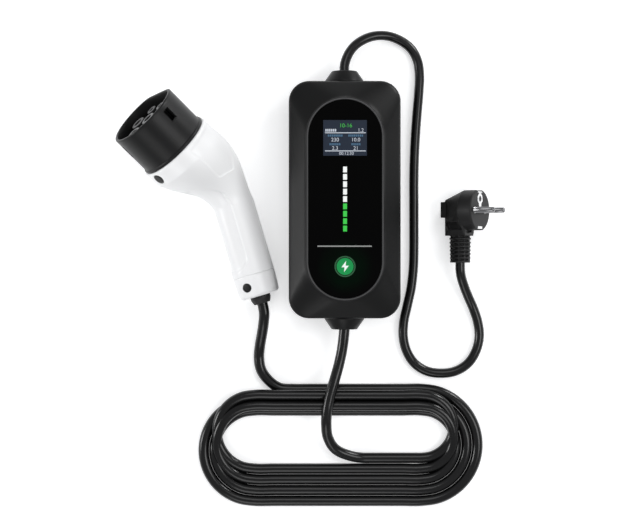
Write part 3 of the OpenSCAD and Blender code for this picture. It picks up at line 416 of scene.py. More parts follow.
# Polished black glass, with the faint green light that leaks round the key
panelGlass = {"dark": (0.0006, 0.0006, 0.0006), "light": (0.001, 0.001, 0.001), "clouds": 20,
              "gloss": (0.04, 0.07), "shine": 0.05, "glow": (0.0, 0.007, 0.002), "glowFrom": 9.5,
              "glowReach": 27, "glowPatches": 45}


def panelFinish():
    material, tree, shader = startMaterial("panelGlass")
    fade = addNode(tree, "MapRange", {
        "Value": distanceFrom(tree, (0, keyY, panelHigh[2])), "From Min": panelGlass["glowFrom"] * mm,
        "From Max": panelGlass["glowReach"] * mm, "To Min": 1, "To Max": 0},
        interpolation_type="SMOOTHSTEP")
    uneven = addNode(tree, "TexNoise", {
        "Vector": objectPlace(tree), "Scale": panelGlass["glowPatches"]})
    patch = addNode(tree, "Math", {0: fade.outputs["Result"], 1: uneven.outputs["Fac"]},
                    operation="MULTIPLY")
    tint = mixColours(tree, patch.outputs[0], addClouds(tree, shader, panelGlass),
                      (*panelGlass["glow"], 1))
    feed(tree, shader, {"Base Color": tint, "Specular IOR Level": panelGlass["shine"]})
    return material


materials = {name: plainFinish(name) for name in finishes}
materials["chargeBarLight"] = chargeBarFinish()
materials["panelGlass"] = panelFinish()
materials["keyGreen"] = keyFinish()
for name, (colour, strength) in litColours.items():
    materials[name] = litFinish(name, colour, strength)
print("materials ready:", len(materials))

# What each frame node is made of
nodeFinish = {
    "caseBlack": ["back_case", "front_case", "top_gland", "bottom_gland"],
    "rubberBlack": ["case_gasket", "cable_bushing", "shroud_seal"],
    "screwSteel": ["case_screws", "display_screws", "board_screws", "clamp_screws", "head_screw",
                   "end_screw"],
    "panelGlass": ["front_panel"],
    "displayGlass": ["display_module"],
    "chargeBarLight": ["charge_bar"],
    "keyGreen": ["touch_key"],
    "ringGreen": ["key_ring"],
    "boardGreen": ["display_board", "main_board", "coding_board"],
    "componentDark": ["power_relays", "supply_module", "smoothing_capacitor", "current_sensor",
                      "buzzer"],
    "insulatorPale": ["fuse", "ribbon_cable"],
    "terminalGreen": ["mains_terminals", "output_terminals"],
    "coreSleeve": ["mains_cores", "output_cores", "connector_cores"],
    "handleWhite": ["grip_housing", "end_ring"],
    "shroudBlack": ["connector_shroud", "contact_carrier", "contact_towers", "grip_clamp",
                    "cord_clamps", "head_screw_cap", "end_screw_cap"],
    "sealRed": ["contact_seal"],
    "contactMetal": ["power_contacts", "signal_contacts", "earth_clips", "earth_socket"],
    "pinChrome": ["mains_pins"],
    "plugBlack": ["plug_body", "pin_bridge"],
    "cableBlack": ["mains_lead", "charge_lead_box_side", "charge_coil",
                   "charge_lead_connector_side"],
}
finishOf = {node: name for name, group in nodeFinish.items() for node in group}
for node, name in finishOf.items():
    for place in frame["nodes"][node].material_slots:
        place.material = materials[name]
print("frame nodes without a finish:", sorted(set(frame["nodes"]) - set(finishOf)))


# Making pieces
mergeWithin = {"frameNode": 0.002, "turned": 0.0005}


def finishPiece(name, bm, finish, sharpAngle=35, replaced=()):
    # every piece is shaped in millimetres, and shrinks to metres here
    bmesh.ops.scale(bm, vec=(mm, mm, mm), verts=bm.verts)
    mesh = meshFrom(bm, name)
    mesh.shade_smooth()
    mesh.set_sharp_from_angle(angle=radians(sharpAngle))
    mesh.materials.append(materials[finish])
    obj = addObject(name, mesh)
    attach(obj, "root")
    if replaced:
        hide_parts(*replaced)
    return obj


def replaceNode(name, node, bm, sharpAngle):
    # a finer piece in a frame node's place, with its finish
    return finishPiece(name, bm, finishOf[node], sharpAngle, (node,))


def smoothNode(name, node, sharpAngle):
    # the frame node's own form, merged and shaded smooth
    bm = bmesh.new()
    bm.from_mesh(frame["nodes"][node].data)
    bmesh.ops.scale(bm, vec=(1 / mm, 1 / mm, 1 / mm), verts=bm.verts)
    bmesh.ops.remove_doubles(bm, verts=bm.verts, dist=mergeWithin["frameNode"])
    return replaceNode(name, node, bm, sharpAngle)


def bakeModifiers(obj):
    # the modified mesh takes the place of the plain one
    seen = bpy.context.evaluated_depsgraph_get()
    mesh = bpy.data.meshes.new_from_object(obj.evaluated_get(seen))
    obj.modifiers.clear()
    obj.data = mesh


def turnAngles(sides):
    # the directions of a round outline's points, even on all four sides
    return [2 * pi * (k + 0.5) / sides for k in range(sides)]


def sweepLoops(loops):
    # the first loop of points is carried from each place to the next, and the last is joined to it
    bm = bmesh.new()
    order = bm.verts.layers.int.new("order")
    verts = bmesh.ops.create_circle(bm, segments=len(loops[0]), radius=1)["verts"]
    for k, vert in enumerate(verts):
        vert[order] = k
        vert.co = loops[0][k]
    firstEdges = list(dict.fromkeys(edge for vert in verts for edge in vert.link_edges))
    edges = firstEdges
    for loop in loops[1:]:
        made = bmesh.ops.extrude_edge_only(bm, edges=edges)["geom"]
        fresh = {g for g in made if isinstance(g, bmesh.types.BMVert)}
        for vert in fresh:
            vert.co = loop[vert[order]]
        edges = [g for g in made if isinstance(g, bmesh.types.BMEdge) and fresh.issuperset(g.verts)]
    bmesh.ops.bridge_loops(bm, edges=firstEdges + edges)
    bmesh.ops.recalc_face_normals(bm, faces=bm.faces)
    return bm


def rodCutter(radius, length, sides, place):
    # a plain rod along its own Z
    cutter = bmesh.new()
    bmesh.ops.create_cone(cutter, cap_ends=True, segments=sides, radius1=radius, radius2=radius,
                          depth=length, matrix=place)
    return cutter


def cutAway(obj, cutters, sharpAngle):
    # the cutters are taken out of the piece, and then thrown away
    for cutter in cutters:
        bmesh.ops.scale(cutter, vec=(mm, mm, mm), verts=cutter.verts)
        bmesh.ops.recalc_face_normals(cutter, faces=cutter.faces)
        tool = addObject("cutter", meshFrom(cutter, "cutter"))
        cut = obj.modifiers.new("cut", "BOOLEAN")
        cut.operation = "DIFFERENCE"
        cut.solver = "EXACT"
        cut.object = tool
        bakeModifiers(obj)
        mesh = tool.data
        bpy.data.objects.remove(tool)
        bpy.data.meshes.remove(mesh)
    obj.data.set_sharp_from_angle(angle=radians(sharpAngle))


def sweptPiece(name, node, loops, place, cutters, sharpAngle):
    bm = sweepLoops(loops)
    bmesh.ops.transform(bm, matrix=place, verts=bm.verts)
    piece = replaceNode(name, node, bm, sharpAngle)
    cutAway(piece, cutters, sharpAngle)
    return piece


def turned(profile, steps):
    # a closed profile of (along x, radius) points, spun round the X axis
    bm = bmesh.new()
    points = [bm.verts.new((x, 0, r)) for x, r in profile]
    edges = [bm.edges.new(pair) for pair in zip(points, points[1:] + points[:1])]
    bmesh.ops.spin(bm, geom=points + edges, cent=(0, 0, 0), axis=(1, 0, 0), angle=2 * pi,
                   steps=steps, use_merge=True)
    bmesh.ops.remove_doubles(bm, verts=bm.verts, dist=mergeWithin["turned"])
    bmesh.ops.recalc_face_normals(bm, faces=bm.faces)
    return bm


def turnedPiece(name, node, profile, place, steps, sharpAngle=30):
    bm = turned(profile, steps)
    bmesh.ops.transform(bm, matrix=place, verts=bm.verts)
    return replaceNode(name, node, bm, sharpAngle)


# How a bore opens out where it meets the end face
boreMouth = {"depth": 0.4, "flare": 0.5}


def mouthPoints(end, bore):
    return [(end, bore + boreMouth["flare"]), (end - boreMouth["depth"], bore)]


# Control box
box = {
    "halfWidth": caseHigh[0], "halfLength": caseHigh[1], "splitHeight": caseLow[2],
    "topHeight": caseHigh[2], "cornerRadius": 18, "wall": 3, "waistHeight": 30,
    "sideSteps": 5, "cornerSteps": 16, "endSteps": 4, "arcShare": 75, "sharpAngle": 40,
    # the groove along the split: how far in, and how far above it
    "seamEdge": [(0.5, 0), (0.5, 0.3), (0.1, 0.6), (0, 0.9)],
    # the shoulder bends into the slope, which climbs to the panel's rim
    "shoulderHeight": 40, "shoulderDrop": 1.9, "shoulderShare": 0.13, "shoulderSteps": 6,
    "slopeShares": (0.3, 0.5, 0.7, 0.88, 0.985), "insideDrop": 1.5,
    "rimHeight": 53, "rimHalfWidth": 34.15, "rimHalfStraight": 54.5, "rimWidth": 2.3, "crest": 0.03,
    # the rim's rounded edges: how far in from its outer and inner side, and how far below its top
    "rimOutside": [(0, 0.85), (0.12, 0.4), (0.4, 0.1), (0.75, 0)],
    "rimInside": [(0.35, 0), (0.1, 0.08), (0, 0.3)],
    "ledgeHeight": panelLow[2], "ledgeUnderside": 48.9, "ledgeWidth": 6.4,
}


def caseQuarter(share, inset):
    # a quarter of the outline, part of the way from the rounded oblong to the panel's rim
    straight = box["halfLength"] - box["cornerRadius"]
    across = box["halfWidth"] - box["cornerRadius"]
    corner = box["cornerRadius"] - inset
    rim = box["rimHalfWidth"] - inset
    points = []
    for k in range(box["sideSteps"]):
        t = k / box["sideSteps"]
        points.append(((across + corner, straight * t), (rim, box["rimHalfStraight"] * t)))
    for k in range(box["cornerSteps"]):
        t = k / box["cornerSteps"]
        a, b = radians(90 * t), radians(box["arcShare"] * t)
        points.append(((across + corner * cos(a), straight + corner * sin(a)),
                       (rim * cos(b), box["rimHalfStraight"] + rim * sin(b))))
    for k in range(box["endSteps"] + 1):
        t = k / box["endSteps"]
        b = radians(box["arcShare"] + (90 - box["arcShare"]) * t)
        points.append(((across * (1 - t), straight + corner),
                       (rim * cos(b), box["rimHalfStraight"] + rim * sin(b))))
    return [(mixed(p[0], q[0], share), mixed(p[1], q[1], share)) for p, q in points]


def caseLoop(share, inset, height):
    quarter = caseQuarter(share, inset)
    up, down = quarter[:-1], quarter[:0:-1]
    ring = up + [(-x, y) for x, y in down] + [(-x, -y) for x, y in up] + [(x, -y) for x, y in down]
    return [(x, y, height) for x, y in ring]


def slopeHeight(share):
    return mixed(box["shoulderHeight"], box["rimHeight"], share)


def makeFrontShell():
    low, top, rim, wall = box["splitHeight"], box["topHeight"], box["rimWidth"], box["wall"]
    shoulder, bend = box["shoulderHeight"], box["shoulderShare"]
    levels = [(0, inset, low + up) for inset, up in box["seamEdge"]] + [(0, 0, box["waistHeight"])]
    for k in range(box["shoulderSteps"] + 1):
        t = k / box["shoulderSteps"]
        before = mixed(shoulder - box["shoulderDrop"], shoulder, t)
        levels.append((bend * t * t, 0, mixed(before, mixed(shoulder, slopeHeight(bend), t), t)))
    levels += [(share, 0, slopeHeight(share)) for share in box["slopeShares"]]
    levels += [(1, inset, top - down) for inset, down in box["rimOutside"]]
    levels += [(1, rim - inset, top - down) for inset, down in box["rimInside"]]
    levels += [(1, rim, box["ledgeHeight"]), (1, box["ledgeWidth"], box["ledgeHeight"]),
               (1, box["ledgeWidth"], box["ledgeUnderside"]), (1, wall, box["ledgeUnderside"]),
               (0, wall, shoulder - box["insideDrop"]), (0, wall, low)]
    holes = []
    for side in (1, -1):
        place = (Matrix.Translation((0, side * box["halfLength"], gland["height"]))
                 @ Matrix.Rotation(pi / 2, 4, "X"))
        holes.append(rodCutter(gland["hole"], gland["holeLength"], gland["holeSides"], place))
    shell = sweptPiece("frontShell", "front_case", [caseLoop(*level) for level in levels],
                       Matrix.Identity(4), holes, box["sharpAngle"])
    # the crest of the panel's rim is coloured lighter, a painted highlight where its edge would catch
    # the light
    shell.data.materials.append(materials["rimPaintedHighlight"])
    for face in shell.data.polygons:
        if face.center.z > (top - box["crest"]) * mm:
            face.material_index = 1


gland = {
    "height": 22, "hole": 11.05, "holeLength": 12, "holeSides": 64, "steps": 96, "neck": 11,
    "flange": 13, "flangeThick": 2.2, "base": 17.5, "tip": 11.5, "length": 10,
    # rounded edges: how far out from the case or back from the end, and how far in
    "baseEdge": [(0, 0.2), (0.2, 0), (0.8, 0), (1.3, 0.2)],
    "tipEdge": [(0.9, -0.35), (0.3, 0.1), (0, 0.6)],
}


def makeGland(name, node, side, bore):
    out = box["halfLength"]
    wall = out - box["wall"]
    inside = wall - gland["flangeThick"]
    end = out + gland["length"]
    profile = [(inside, bore), (inside, gland["flange"]), (wall, gland["flange"]),
               (wall, gland["neck"]), (out, gland["neck"])]
    profile += [(out + along, gland["base"] - down) for along, down in gland["baseEdge"]]
    profile += [(end - along, gland["tip"] - down) for along, down in gland["tipEdge"]]
    profile += mouthPoints(end, bore)
    place = Matrix.Translation((0, 0, gland["height"])) @ Matrix.Rotation(side * pi / 2, 4, "Z")
    turnedPiece(name, node, profile, place, gland["steps"])


makeFrontShell()
smoothNode("backShell", "back_case", sharpAngle=30)
makeGland("mainsGland", "top_gland", 1, cordBore("mains"))
makeGland("chargeGland", "bottom_gland", -1, cordBore("charge"))
print("control box ready")


# Vehicle connector, shaped in its own lengths: the head lies along +X with its top along +Z.
# Where it lies is worked out from its contacts in the frame's record
gun = {"yaw": 135, "pitch": 20, "roll": 121.5, "contactFront": 31, "contactRow": 1}
mountAt = {mount["name"]: Vector(mount["pos_m"]) / mm for mount in frame["record"]["mounts"]}
gunTurn = (Matrix.Rotation(radians(gun["yaw"]), 4, "Z")
           @ Matrix.Rotation(radians(-gun["pitch"]), 4, "Y")
           @ Matrix.Rotation(radians(gun["roll"]), 4, "X"))
gunFront = Vector((gun["contactFront"], 0, gun["contactRow"]))
gunPlace = Matrix.Translation(mountAt["power_contact_centre"] - gunTurn @ gunFront) @ gunTurn

handle = {
    "headRadius": 35, "barrel": 14, "headLength": 76, "crown": 6.3, "bend": 34,
    "halfDepth": 19.75, "halfWidth": 17, "gripEnd": 140, "ringEnd": 160, "wall": 3,
    "chinShare": 0.25, "sides": 216, "step": 0.9, "fingerSide": 270, "sharpAngle": 40,
    "spigotRadius": 31.5, "spigotDepth": 14.5, "wallStep": 4,
    # where the grip draws in towards its end: from, over and by
    "drawIn": [(140, 10, 0.3), (150, 8, 0.6)],
    # rounded edges: how far along from the end, and how far in
    "frontEdge": [(0.02, 1.3), (0.15, 0.75), (0.5, 0.25), (1.1, 0.03)], "frontRound": 1.8,
    "seamEdge": [(0.25, 0.1), (0.02, 0.4)], "seamRound": 0.5,
}
endRing = {
    "wall": 5.8, "floor": 3, "plainSteps": 16, "roundEdge": 3.4, "roundSteps": 8, "face": 6,
    "bushHole": 8.5,
}
# the label's place on each side of the head, and the hollow for the fingers
labelPad = {
    "outline": [(-4, -13), (-4, 27), (-34, 27), (-49, 12), (-43, -5)],
    "depth": 0.75, "border": 0.8, "blend": 0.7,
}
fingerHollow = {
    "halfAngle": 58, "radius": 18.5, "top": 41, "topDrop": 23, "topCurve": 1.6, "low": 136,
    "lowRound": 15, "depth": 1.25, "border": 2.6, "blend": 0.8, "brow": 0.9, "browReach": 9,
}


def handleSection(s):
    # place, height, tilt, reach to the palm side, reach to the finger side and half width
    radius, barrel, head = handle["headRadius"], handle["barrel"], handle["headLength"]
    depth, width, bend = handle["halfDepth"], handle["halfWidth"], radians(handle["bend"])
    if s <= barrel:
        return -s, 0, 0, radius, radius, radius
    if s <= head:
        u = (s - barrel) / (head - barrel)
        late = (u - handle["chinShare"]) / (1 - handle["chinShare"])
        return (-s, handle["crown"] * sin(pi * u), bend * u, mixed(radius, depth, ease(u)),
                mixed(radius, depth, ease(late)), mixed(radius, width, ease(u)))
    t = s - head
    thin = sum(by * ease((s - start) / over) for start, over, by in handle["drawIn"])
    return -head - cos(bend) * t, -sin(bend) * t, bend, depth - thin, depth - thin, width - thin


def softLeast(values, blend):
    return -blend * log(sum(exp(-value / blend) for value in values))


def padDepth(x, z):
    outline = labelPad["outline"]
    reaches = []
    for p, q in zip(outline, outline[1:] + outline[:1]):
        edge = Vector(q) - Vector(p)
        away = Vector((x, z)) - Vector(p)
        reaches.append(edge.cross(away) / edge.length)
    return labelPad["depth"] * ease(softLeast(reaches, labelPad["blend"]) / labelPad["border"])


def hollowDepth(s, angle):
    # angle is measured from the middle of the finger side
    span = fingerHollow["halfAngle"]
    if angle >= span or s < fingerHollow["top"] or s > fingerHollow["low"]:
        return 0
    part = angle / span
    top = s - fingerHollow["top"] - fingerHollow["topDrop"] * part ** fingerHollow["topCurve"]
    low = fingerHollow["low"] - fingerHollow["lowRound"] * (1 - sqrt(1 - part * part)) - s
    side = radians(span - angle) * fingerHollow["radius"]
    inside = softLeast((top, low, side), fingerHollow["blend"])
    brow = fingerHollow["brow"] * exp(-(top / fingerHollow["browReach"]) ** 2)
    return (fingerHollow["depth"] + brow) * ease(inside / fingerHollow["border"])


def handleLoop(s, inset=0, pressed=True):
    x, z, tilt, palm, finger, width = handleSection(s)
    points = []
    for a in turnAngles(handle["sides"]):
        h = ((palm if sin(a) > 0 else finger) - inset) * sin(a)
        w = (width - inset) * cos(a)
        if pressed:
            angle = abs((degrees(a) - handle["fingerSide"] + 180) % 360 - 180)
            depth = max(hollowDepth(s, angle), padDepth(x - sin(tilt) * h, z + cos(tilt) * h))
            shrink = 1 - depth / sqrt(h * h + w * w)
            h, w = h * shrink, w * shrink
        points.append((x - sin(tilt) * h, w, z + cos(tilt) * h))
    return points


def roundLoop(s, radius):
    # a plain circle round the handle's line
    x, z, tilt = handleSection(s)[:3]
    return [(x - sin(tilt) * radius * sin(a), radius * cos(a), z + cos(tilt) * radius * sin(a))
            for a in turnAngles(handle["sides"])]


def gripPoint(s):
    x, z = handleSection(s)[:2]
    return Matrix.Translation((x, 0, z))


# The two screw caps, each in a round pocket: one under the head, and one in the end ring
caps = {
    "headBack": 7, "headReach": 34.8, "headRadius": 5,
    "ringAlong": 150.1, "ringReach": 18.56, "ringTurn": 25, "ringRadius": 4,
    "depth": 1.2, "pocketGap": 0.15, "pocketLength": 8, "pocketSides": 48, "steps": 64,
    # the crown: how far out of the pocket, and how far in from the cap's radius
    "side": 0.05, "edge": [(-0.25, 0.05), (0.05, 0.3), (0.22, 0.9)],
    "flatHeight": 0.3, "flatShare": 0.55, "height": 0.32, "sharpAngle": 50,
}
# each place has +X pointing out of the handle
outward = Matrix.Rotation(-pi / 2, 4, "Y")
headCapPlace = (Matrix.Translation((-caps["headBack"], 0, -caps["headReach"]))
                @ Matrix.Rotation(pi, 4, "X") @ outward)
ringCapPlace = (gripPoint(caps["ringAlong"]) @ Matrix.Rotation(radians(270 - handle["bend"]), 4, "Y")
                @ Matrix.Rotation(radians(-caps["ringTurn"]), 4, "Z") @ outward
                @ Matrix.Translation((0, 0, caps["ringReach"])) @ outward)


def pocketCutter(place, capRadius):
    out = Matrix.Translation((0, 0, caps["pocketLength"] / 2 - caps["depth"]))
    return rodCutter(capRadius + caps["pocketGap"], caps["pocketLength"], caps["pocketSides"],
                     gunPlace @ place @ Matrix.Rotation(pi / 2, 4, "Y") @ out)


def makeGripShell():
    end, wall, inner = handle["gripEnd"], handle["wall"], handle["spigotRadius"]
    start, edge = handle["frontRound"], handle["frontEdge"]
    length = end - handle["seamRound"] - start
    count = int(length / handle["step"])
    loops = [handleLoop(along, inset) for along, inset in edge]
    loops += [handleLoop(start + length * k / count) for k in range(count + 1)]
    loops += [handleLoop(end - along, inset) for along, inset in handle["seamEdge"]]
    loops.append(handleLoop(end - handle["seamEdge"][-1][0], wall, False))
    loops += [handleLoop(s, wall, False)
              for s in range(end - handle["wallStep"], handle["barrel"] + 1, -handle["wallStep"])]
    loops += [roundLoop(handle["spigotDepth"], inner), roundLoop(edge[0][0], inner)]
    pocket = pocketCutter(headCapPlace, caps["headRadius"])
    sweptPiece("gripShell", "grip_housing", loops, gunPlace, [pocket], handle["sharpAngle"])


def makeEndRing():
    start, end, radius = handle["gripEnd"], handle["ringEnd"], endRing["roundEdge"]
    wall, bore = endRing["wall"], endRing["bushHole"]
    loops = [handleLoop(start + along, inset, False) for along, inset in handle["seamEdge"][::-1]]
    loops += [handleLoop(start + handle["seamRound"] + k, 0, False)
              for k in range(endRing["plainSteps"])]
    for k in range(1, endRing["roundSteps"] + 1):
        turn = pi / 2 * k / endRing["roundSteps"]
        loops.append(handleLoop(end - radius + radius * sin(turn), radius * (1 - cos(turn)), False))
    loops.append(handleLoop(end, endRing["face"], False))
    loops += [roundLoop(*point) for point in mouthPoints(end, bore)]
    loops += [roundLoop(end - endRing["floor"], bore), handleLoop(end - endRing["floor"], wall, False),
              handleLoop(start + handle["seamEdge"][-1][0], wall, False)]
    pocket = pocketCutter(ringCapPlace, caps["ringRadius"])
    sweptPiece("gripEndRing", "end_ring", loops, gunPlace, [pocket], handle["sharpAngle"])


def makeScrewCap(name, node, place, radius):
    profile = [(-caps["depth"], 0), (-caps["depth"], radius - caps["side"])]
    profile += [(up, radius - inset) for up, inset in caps["edge"]]
    profile += [(caps["flatHeight"], radius * caps["flatShare"]), (caps["height"], 0)]
    turnedPiece(name, node, profile, gunPlace @ place, caps["steps"], caps["sharpAngle"])


# The bushing's outer form: how far out of the ring, and the radius there
bushing = {
    "form": [(-5.2, 10.4), (-3, 10.4), (-3, 8.4), (0, 8.4), (0, 8.8), (0.2, 9), (2.6, 9), (3.1, 8.8),
             (6.3, 7.6), (6.8, 7.3), (7, 6.9)],
    "steps": 72,
}


def makeBushing():
    bore, form = cordBore("charge"), bushing["form"]
    profile = [(form[0][0], bore), *form, *mouthPoints(form[-1][0], bore)]
    place = gripPoint(handle["ringEnd"]) @ Matrix.Rotation(pi - radians(handle["bend"]), 4, "Y")
    turnedPiece("cableBushing", "cable_bushing", profile, gunPlace @ place, bushing["steps"])


shroud = {
    "radius": 32.5, "wall": 2.8, "length": 40, "flat": 27.5, "lip": 33.5, "corner": 1.6, "sides": 240,
    "spigot": 31.4, "spigotEnd": -13, "sealRadius": 28.4, "coreHole": 24.7, "coreFace": 2,
    "coreBack": -2, "start": 0.05, "lipEnd": 3.1, "sharpAngle": 35,
    # the lip's form: how far along, and how far in from its radius
    "lipEdge": [(0.05, 0.4), (0.3, 0.1), (0.9, 0), (1.9, 0.05), (2.5, 0.3), (2.9, 0.7)],
    "outside": (3.3, 4, 8, 14, 20, 26, 32, 37, 38.4), "inside": (30, 20, 10),
    # the rounded mouth: how far back from its end, and how far in
    "mouthEdge": [(0.9, 0.1), (0.4, 0.35), (0.1, 0.8), (0, 1.2), (0.05, 2), (0.4, 2.5)],
    "mouthDepth": 1.1,
    # cuts: low corner, high corner and turn of the near side's window, the pocket that faces it
    # on the far side, and the slot underneath
    "cuts": [((23, 28, -3.3), (35, 36, 3.3), 0), ((23, -36, -3.3), (35, -30.6, 3.3), 0),
             ((20, 30.9, -3), (33, 36, 3), -114)],
    "cutEdge": 0.5, "cutSegments": 2,
}


def shroudLoop(x, radius, flat=None):
    points = []
    for a in turnAngles(shroud["sides"]):
        y, z = radius * cos(a), radius * sin(a)
        if flat is not None:
            z = (z + flat - sqrt((z - flat) ** 2 + shroud["corner"] ** 2)) / 2
        points.append((x, y, z))
    return points


def boxCutter(low, high, turn):
    cutter = bmesh.new()
    size = Vector(high) - Vector(low)
    place = Matrix.Translation((Vector(low) + Vector(high)) / 2) @ Matrix.Diagonal((*size, 1))
    bmesh.ops.create_cube(cutter, size=1, matrix=place)
    bmesh.ops.bevel(cutter, geom=cutter.edges[:], offset=shroud["cutEdge"],
                    segments=shroud["cutSegments"], affect="EDGES", profile=0.5, material=-1)
    bmesh.ops.transform(cutter, matrix=gunPlace @ Matrix.Rotation(radians(turn), 4, "X"),
                        verts=cutter.verts)
    return cutter


def makeShroud():
    r, flat, length, wall = shroud["radius"], shroud["flat"], shroud["length"], shroud["wall"]
    face, back = shroud["coreFace"], shroud["coreBack"]
    loops = [shroudLoop(x, shroud["spigot"]) for x in (shroud["spigotEnd"], shroud["start"])]
    loops += [shroudLoop(x, shroud["lip"] - inset) for x, inset in shroud["lipEdge"]]
    loops.append(shroudLoop(shroud["lipEnd"], r))
    loops += [shroudLoop(x, r, flat) for x in shroud["outside"]]
    for along, inset in shroud["mouthEdge"]:
        loops.append(shroudLoop(length - along, r - inset, flat - inset))
    for x in (length - shroud["mouthDepth"], *shroud["inside"], face):
        loops.append(shroudLoop(x, r - wall, flat - wall))
    loops += [shroudLoop(x, shroud["coreHole"]) for x in (face, back)]
    loops += [shroudLoop(x, shroud["sealRadius"]) for x in (back, shroud["spigotEnd"])]
    sweptPiece("connectorShroud", "connector_shroud", loops, gunPlace,
               [boxCutter(*cut) for cut in shroud["cuts"]], shroud["sharpAngle"])


towers = {
    # paintedHighlightBand: how far below the top the towers' faces take the painted highlight colour
    "start": 6, "top": 34, "steps": 64, "paintedHighlightBand": 0.65, "sharpAngle": 35,
    # a live tower's radius, and its bore's seat and neck
    "power": (6.7, 4.05, 3.4), "signal": (4.7, 2.15, 1.9), "neckDepth": 3, "flare": 0.6,
    "spareBore": 4, "spareFloor": 4,
    # rounded edges: how far down from the top, and how far in or out
    "rimEdge": [(0.7, 0), (0.2, 0.2), (0, 0.6)],
    "liveEdge": [(0, 0.35), (0.15, 0.1), (0.45, 0)],
    "spareEdge": [(0, 0.5), (0.15, 0.15), (0.5, 0)],
    # where they stand: kind, places across, and height
    "rows": [("power", (-17, 0, 17), 1), ("signal", (-7.5, 7.5), 14.5), ("spare", (-8.5, 8.5), -14.6)],
}


def towerProfile(kind):
    start, top = towers["start"], towers["top"]
    radius, seat, neck = towers["power" if kind == "spare" else kind]
    rim = [(start, radius)] + [(top - down, radius - inset) for down, inset in towers["rimEdge"]]
    if kind == "spare":
        bore, floor = towers["spareBore"], start + towers["spareFloor"]
        edge = [(top - down, bore + out) for down, out in towers["spareEdge"]]
        return rim + edge + [(floor, bore), (floor, 0), (start, 0)]
    mouth, low = neck + towers["flare"], top - towers["neckDepth"]
    edge = [(top - down, mouth + out) for down, out in towers["liveEdge"]]
    return rim + edge + [(low, neck), (low, seat), (start, seat)]


def makeTowers():
    bm = bmesh.new()
    for kind, across, up in towers["rows"]:
        for y in across:
            tower = turned(towerProfile(kind), towers["steps"])
            bmesh.ops.transform(tower, matrix=Matrix.Translation((0, y, up)), verts=tower.verts)
            mesh = meshFrom(tower, "tower")
            bm.from_mesh(mesh)
            bpy.data.meshes.remove(mesh)
    # faces near the towers' tops take the lighter colour, a painted highlight along their rims
    for face in bm.faces:
        face.material_index = int(face.calc_center_median().x > towers["top"] - towers["paintedHighlightBand"])
    bmesh.ops.transform(bm, matrix=gunPlace, verts=bm.verts)
    piece = replaceNode("contactTowers", "contact_towers", bm, towers["sharpAngle"])
    piece.data.materials.append(materials["towerRimHighlight"])


makeGripShell()
makeEndRing()
makeScrewCap("headScrewCap", "head_screw_cap", headCapPlace, caps["headRadius"])
makeScrewCap("ringScrewCap", "end_screw_cap", ringCapPlace, caps["ringRadius"])
makeBushing()
makeShroud()
makeTowers()
print("connector ready")


# What the panel shows: plain figures, short dashes where words would stand, and rules
signs = {
    "sink": 0.04, "proud": 0.05,
    "capShare": 0.7,         # how much of its size a figure stands tall
    "dash": 1.15, "dashGap": 0.5,
    # from the display's middle: figures have their text, place and height, and dashes and rules
    # their place, width and height
    "display": {
        "displayFigures": {
            "finish": "displayWhite",
            "figures": [("1.2", 13.6, 6.6, 3.0), ("230", -8.7, -1.7, 3.2), ("10.0", 9.3, -1.7, 3.2),
                        ("2.3", -8.7, -9.0, 3.2), ("21", 9.4, -9.0, 3.2),
                        ("00:12:30", 1.2, -13.6, 2.6)],
            "dashes": [(-12.4, 6.6, 9.4, 2.3)],
            "rules": [(0.3, 4.4, 35.4, 0.75), (0.3, -11.3, 35.4, 0.75)]},
        "displayLabels": {
            "finish": "displayBlue",
            "dashes": [(-8.6, 2.0, 13, 1.8), (9.2, 2.0, 13, 1.8), (-8.8, -5.5, 9.6, 1.8),
                       (9.4, -5.5, 8, 1.8)]},
        "displayHeader": {
            "finish": "displayGreen",
            "figures": [("10-16", 0.6, 10.6, 3.4)]},
    },
    "captionRule": (-0.4, -40.9, 47.4, 1.1), "ruleEnd": 0.5, "ruleSegments": 5,
    "bolt": [(0.9, 4.9), (-3.2, -0.7), (-0.5, -0.7), (-0.9, -4.9), (3.2, 0.7), (0.5, 0.7)],
}


def addFigures(bm, text, x, y, height, low, high):
    data = bpy.data.curves.new("figures", "FONT")
    data.body = text
    data.size = height / signs["capShare"]
    data.align_x = "CENTER"
    data.align_y = "CENTER"
    data.extrude = (high - low) / 2
    obj = addObject("figures", data)
    seen = bpy.context.evaluated_depsgraph_get()
    mesh = bpy.data.meshes.new_from_object(obj.evaluated_get(seen))
    mesh.transform(Matrix.Translation((x, y, (low + high) / 2)))
    bm.from_mesh(mesh)
    bpy.data.objects.remove(obj)
    bpy.data.curves.remove(data)
    bpy.data.meshes.remove(mesh)


def addBar(bm, x, y, width, height, low, high):
    place = (Matrix.Translation((x, y, (low + high) / 2))
             @ Matrix.Diagonal((width, height, high - low, 1)))
    bmesh.ops.create_cube(bm, size=1, matrix=place)


def addDashes(bm, x, y, width, height, low, high):
    pitch = signs["dash"] + signs["dashGap"]
    count = round(width / pitch)
    for k in range(count):
        addBar(bm, x + (k - (count - 1) / 2) * pitch, y, signs["dash"], height, low, high)


def makeDisplaySigns():
    low, high = displayHigh[2] - signs["sink"], displayHigh[2] + signs["proud"]
    for name, sign in signs["display"].items():
        bm = bmesh.new()
        for text, x, y, height in sign.get("figures", ()):
            addFigures(bm, text, x, displayY + y, height, low, high)
        for x, y, width, height in sign.get("dashes", ()):
            addDashes(bm, x, displayY + y, width, height, low, high)
        for x, y, width, height in sign.get("rules", ()):
            addBar(bm, x, displayY + y, width, height, low, high)
        finishPiece(name, bm, sign["finish"])


def makeCaptionRule():
    rule = bmesh.new()
    addBar(rule, *signs["captionRule"], panelHigh[2] - signs["sink"], panelHigh[2] + signs["proud"])
    upright = [edge for edge in rule.edges
               if abs(edge.verts[0].co.z - edge.verts[1].co.z) > signs["sink"]]
    bmesh.ops.bevel(rule, geom=upright, offset=signs["ruleEnd"], segments=signs["ruleSegments"],
                    affect="EDGES", profile=0.5, material=-1)
    finishPiece("captionRule", rule, "printWhite")


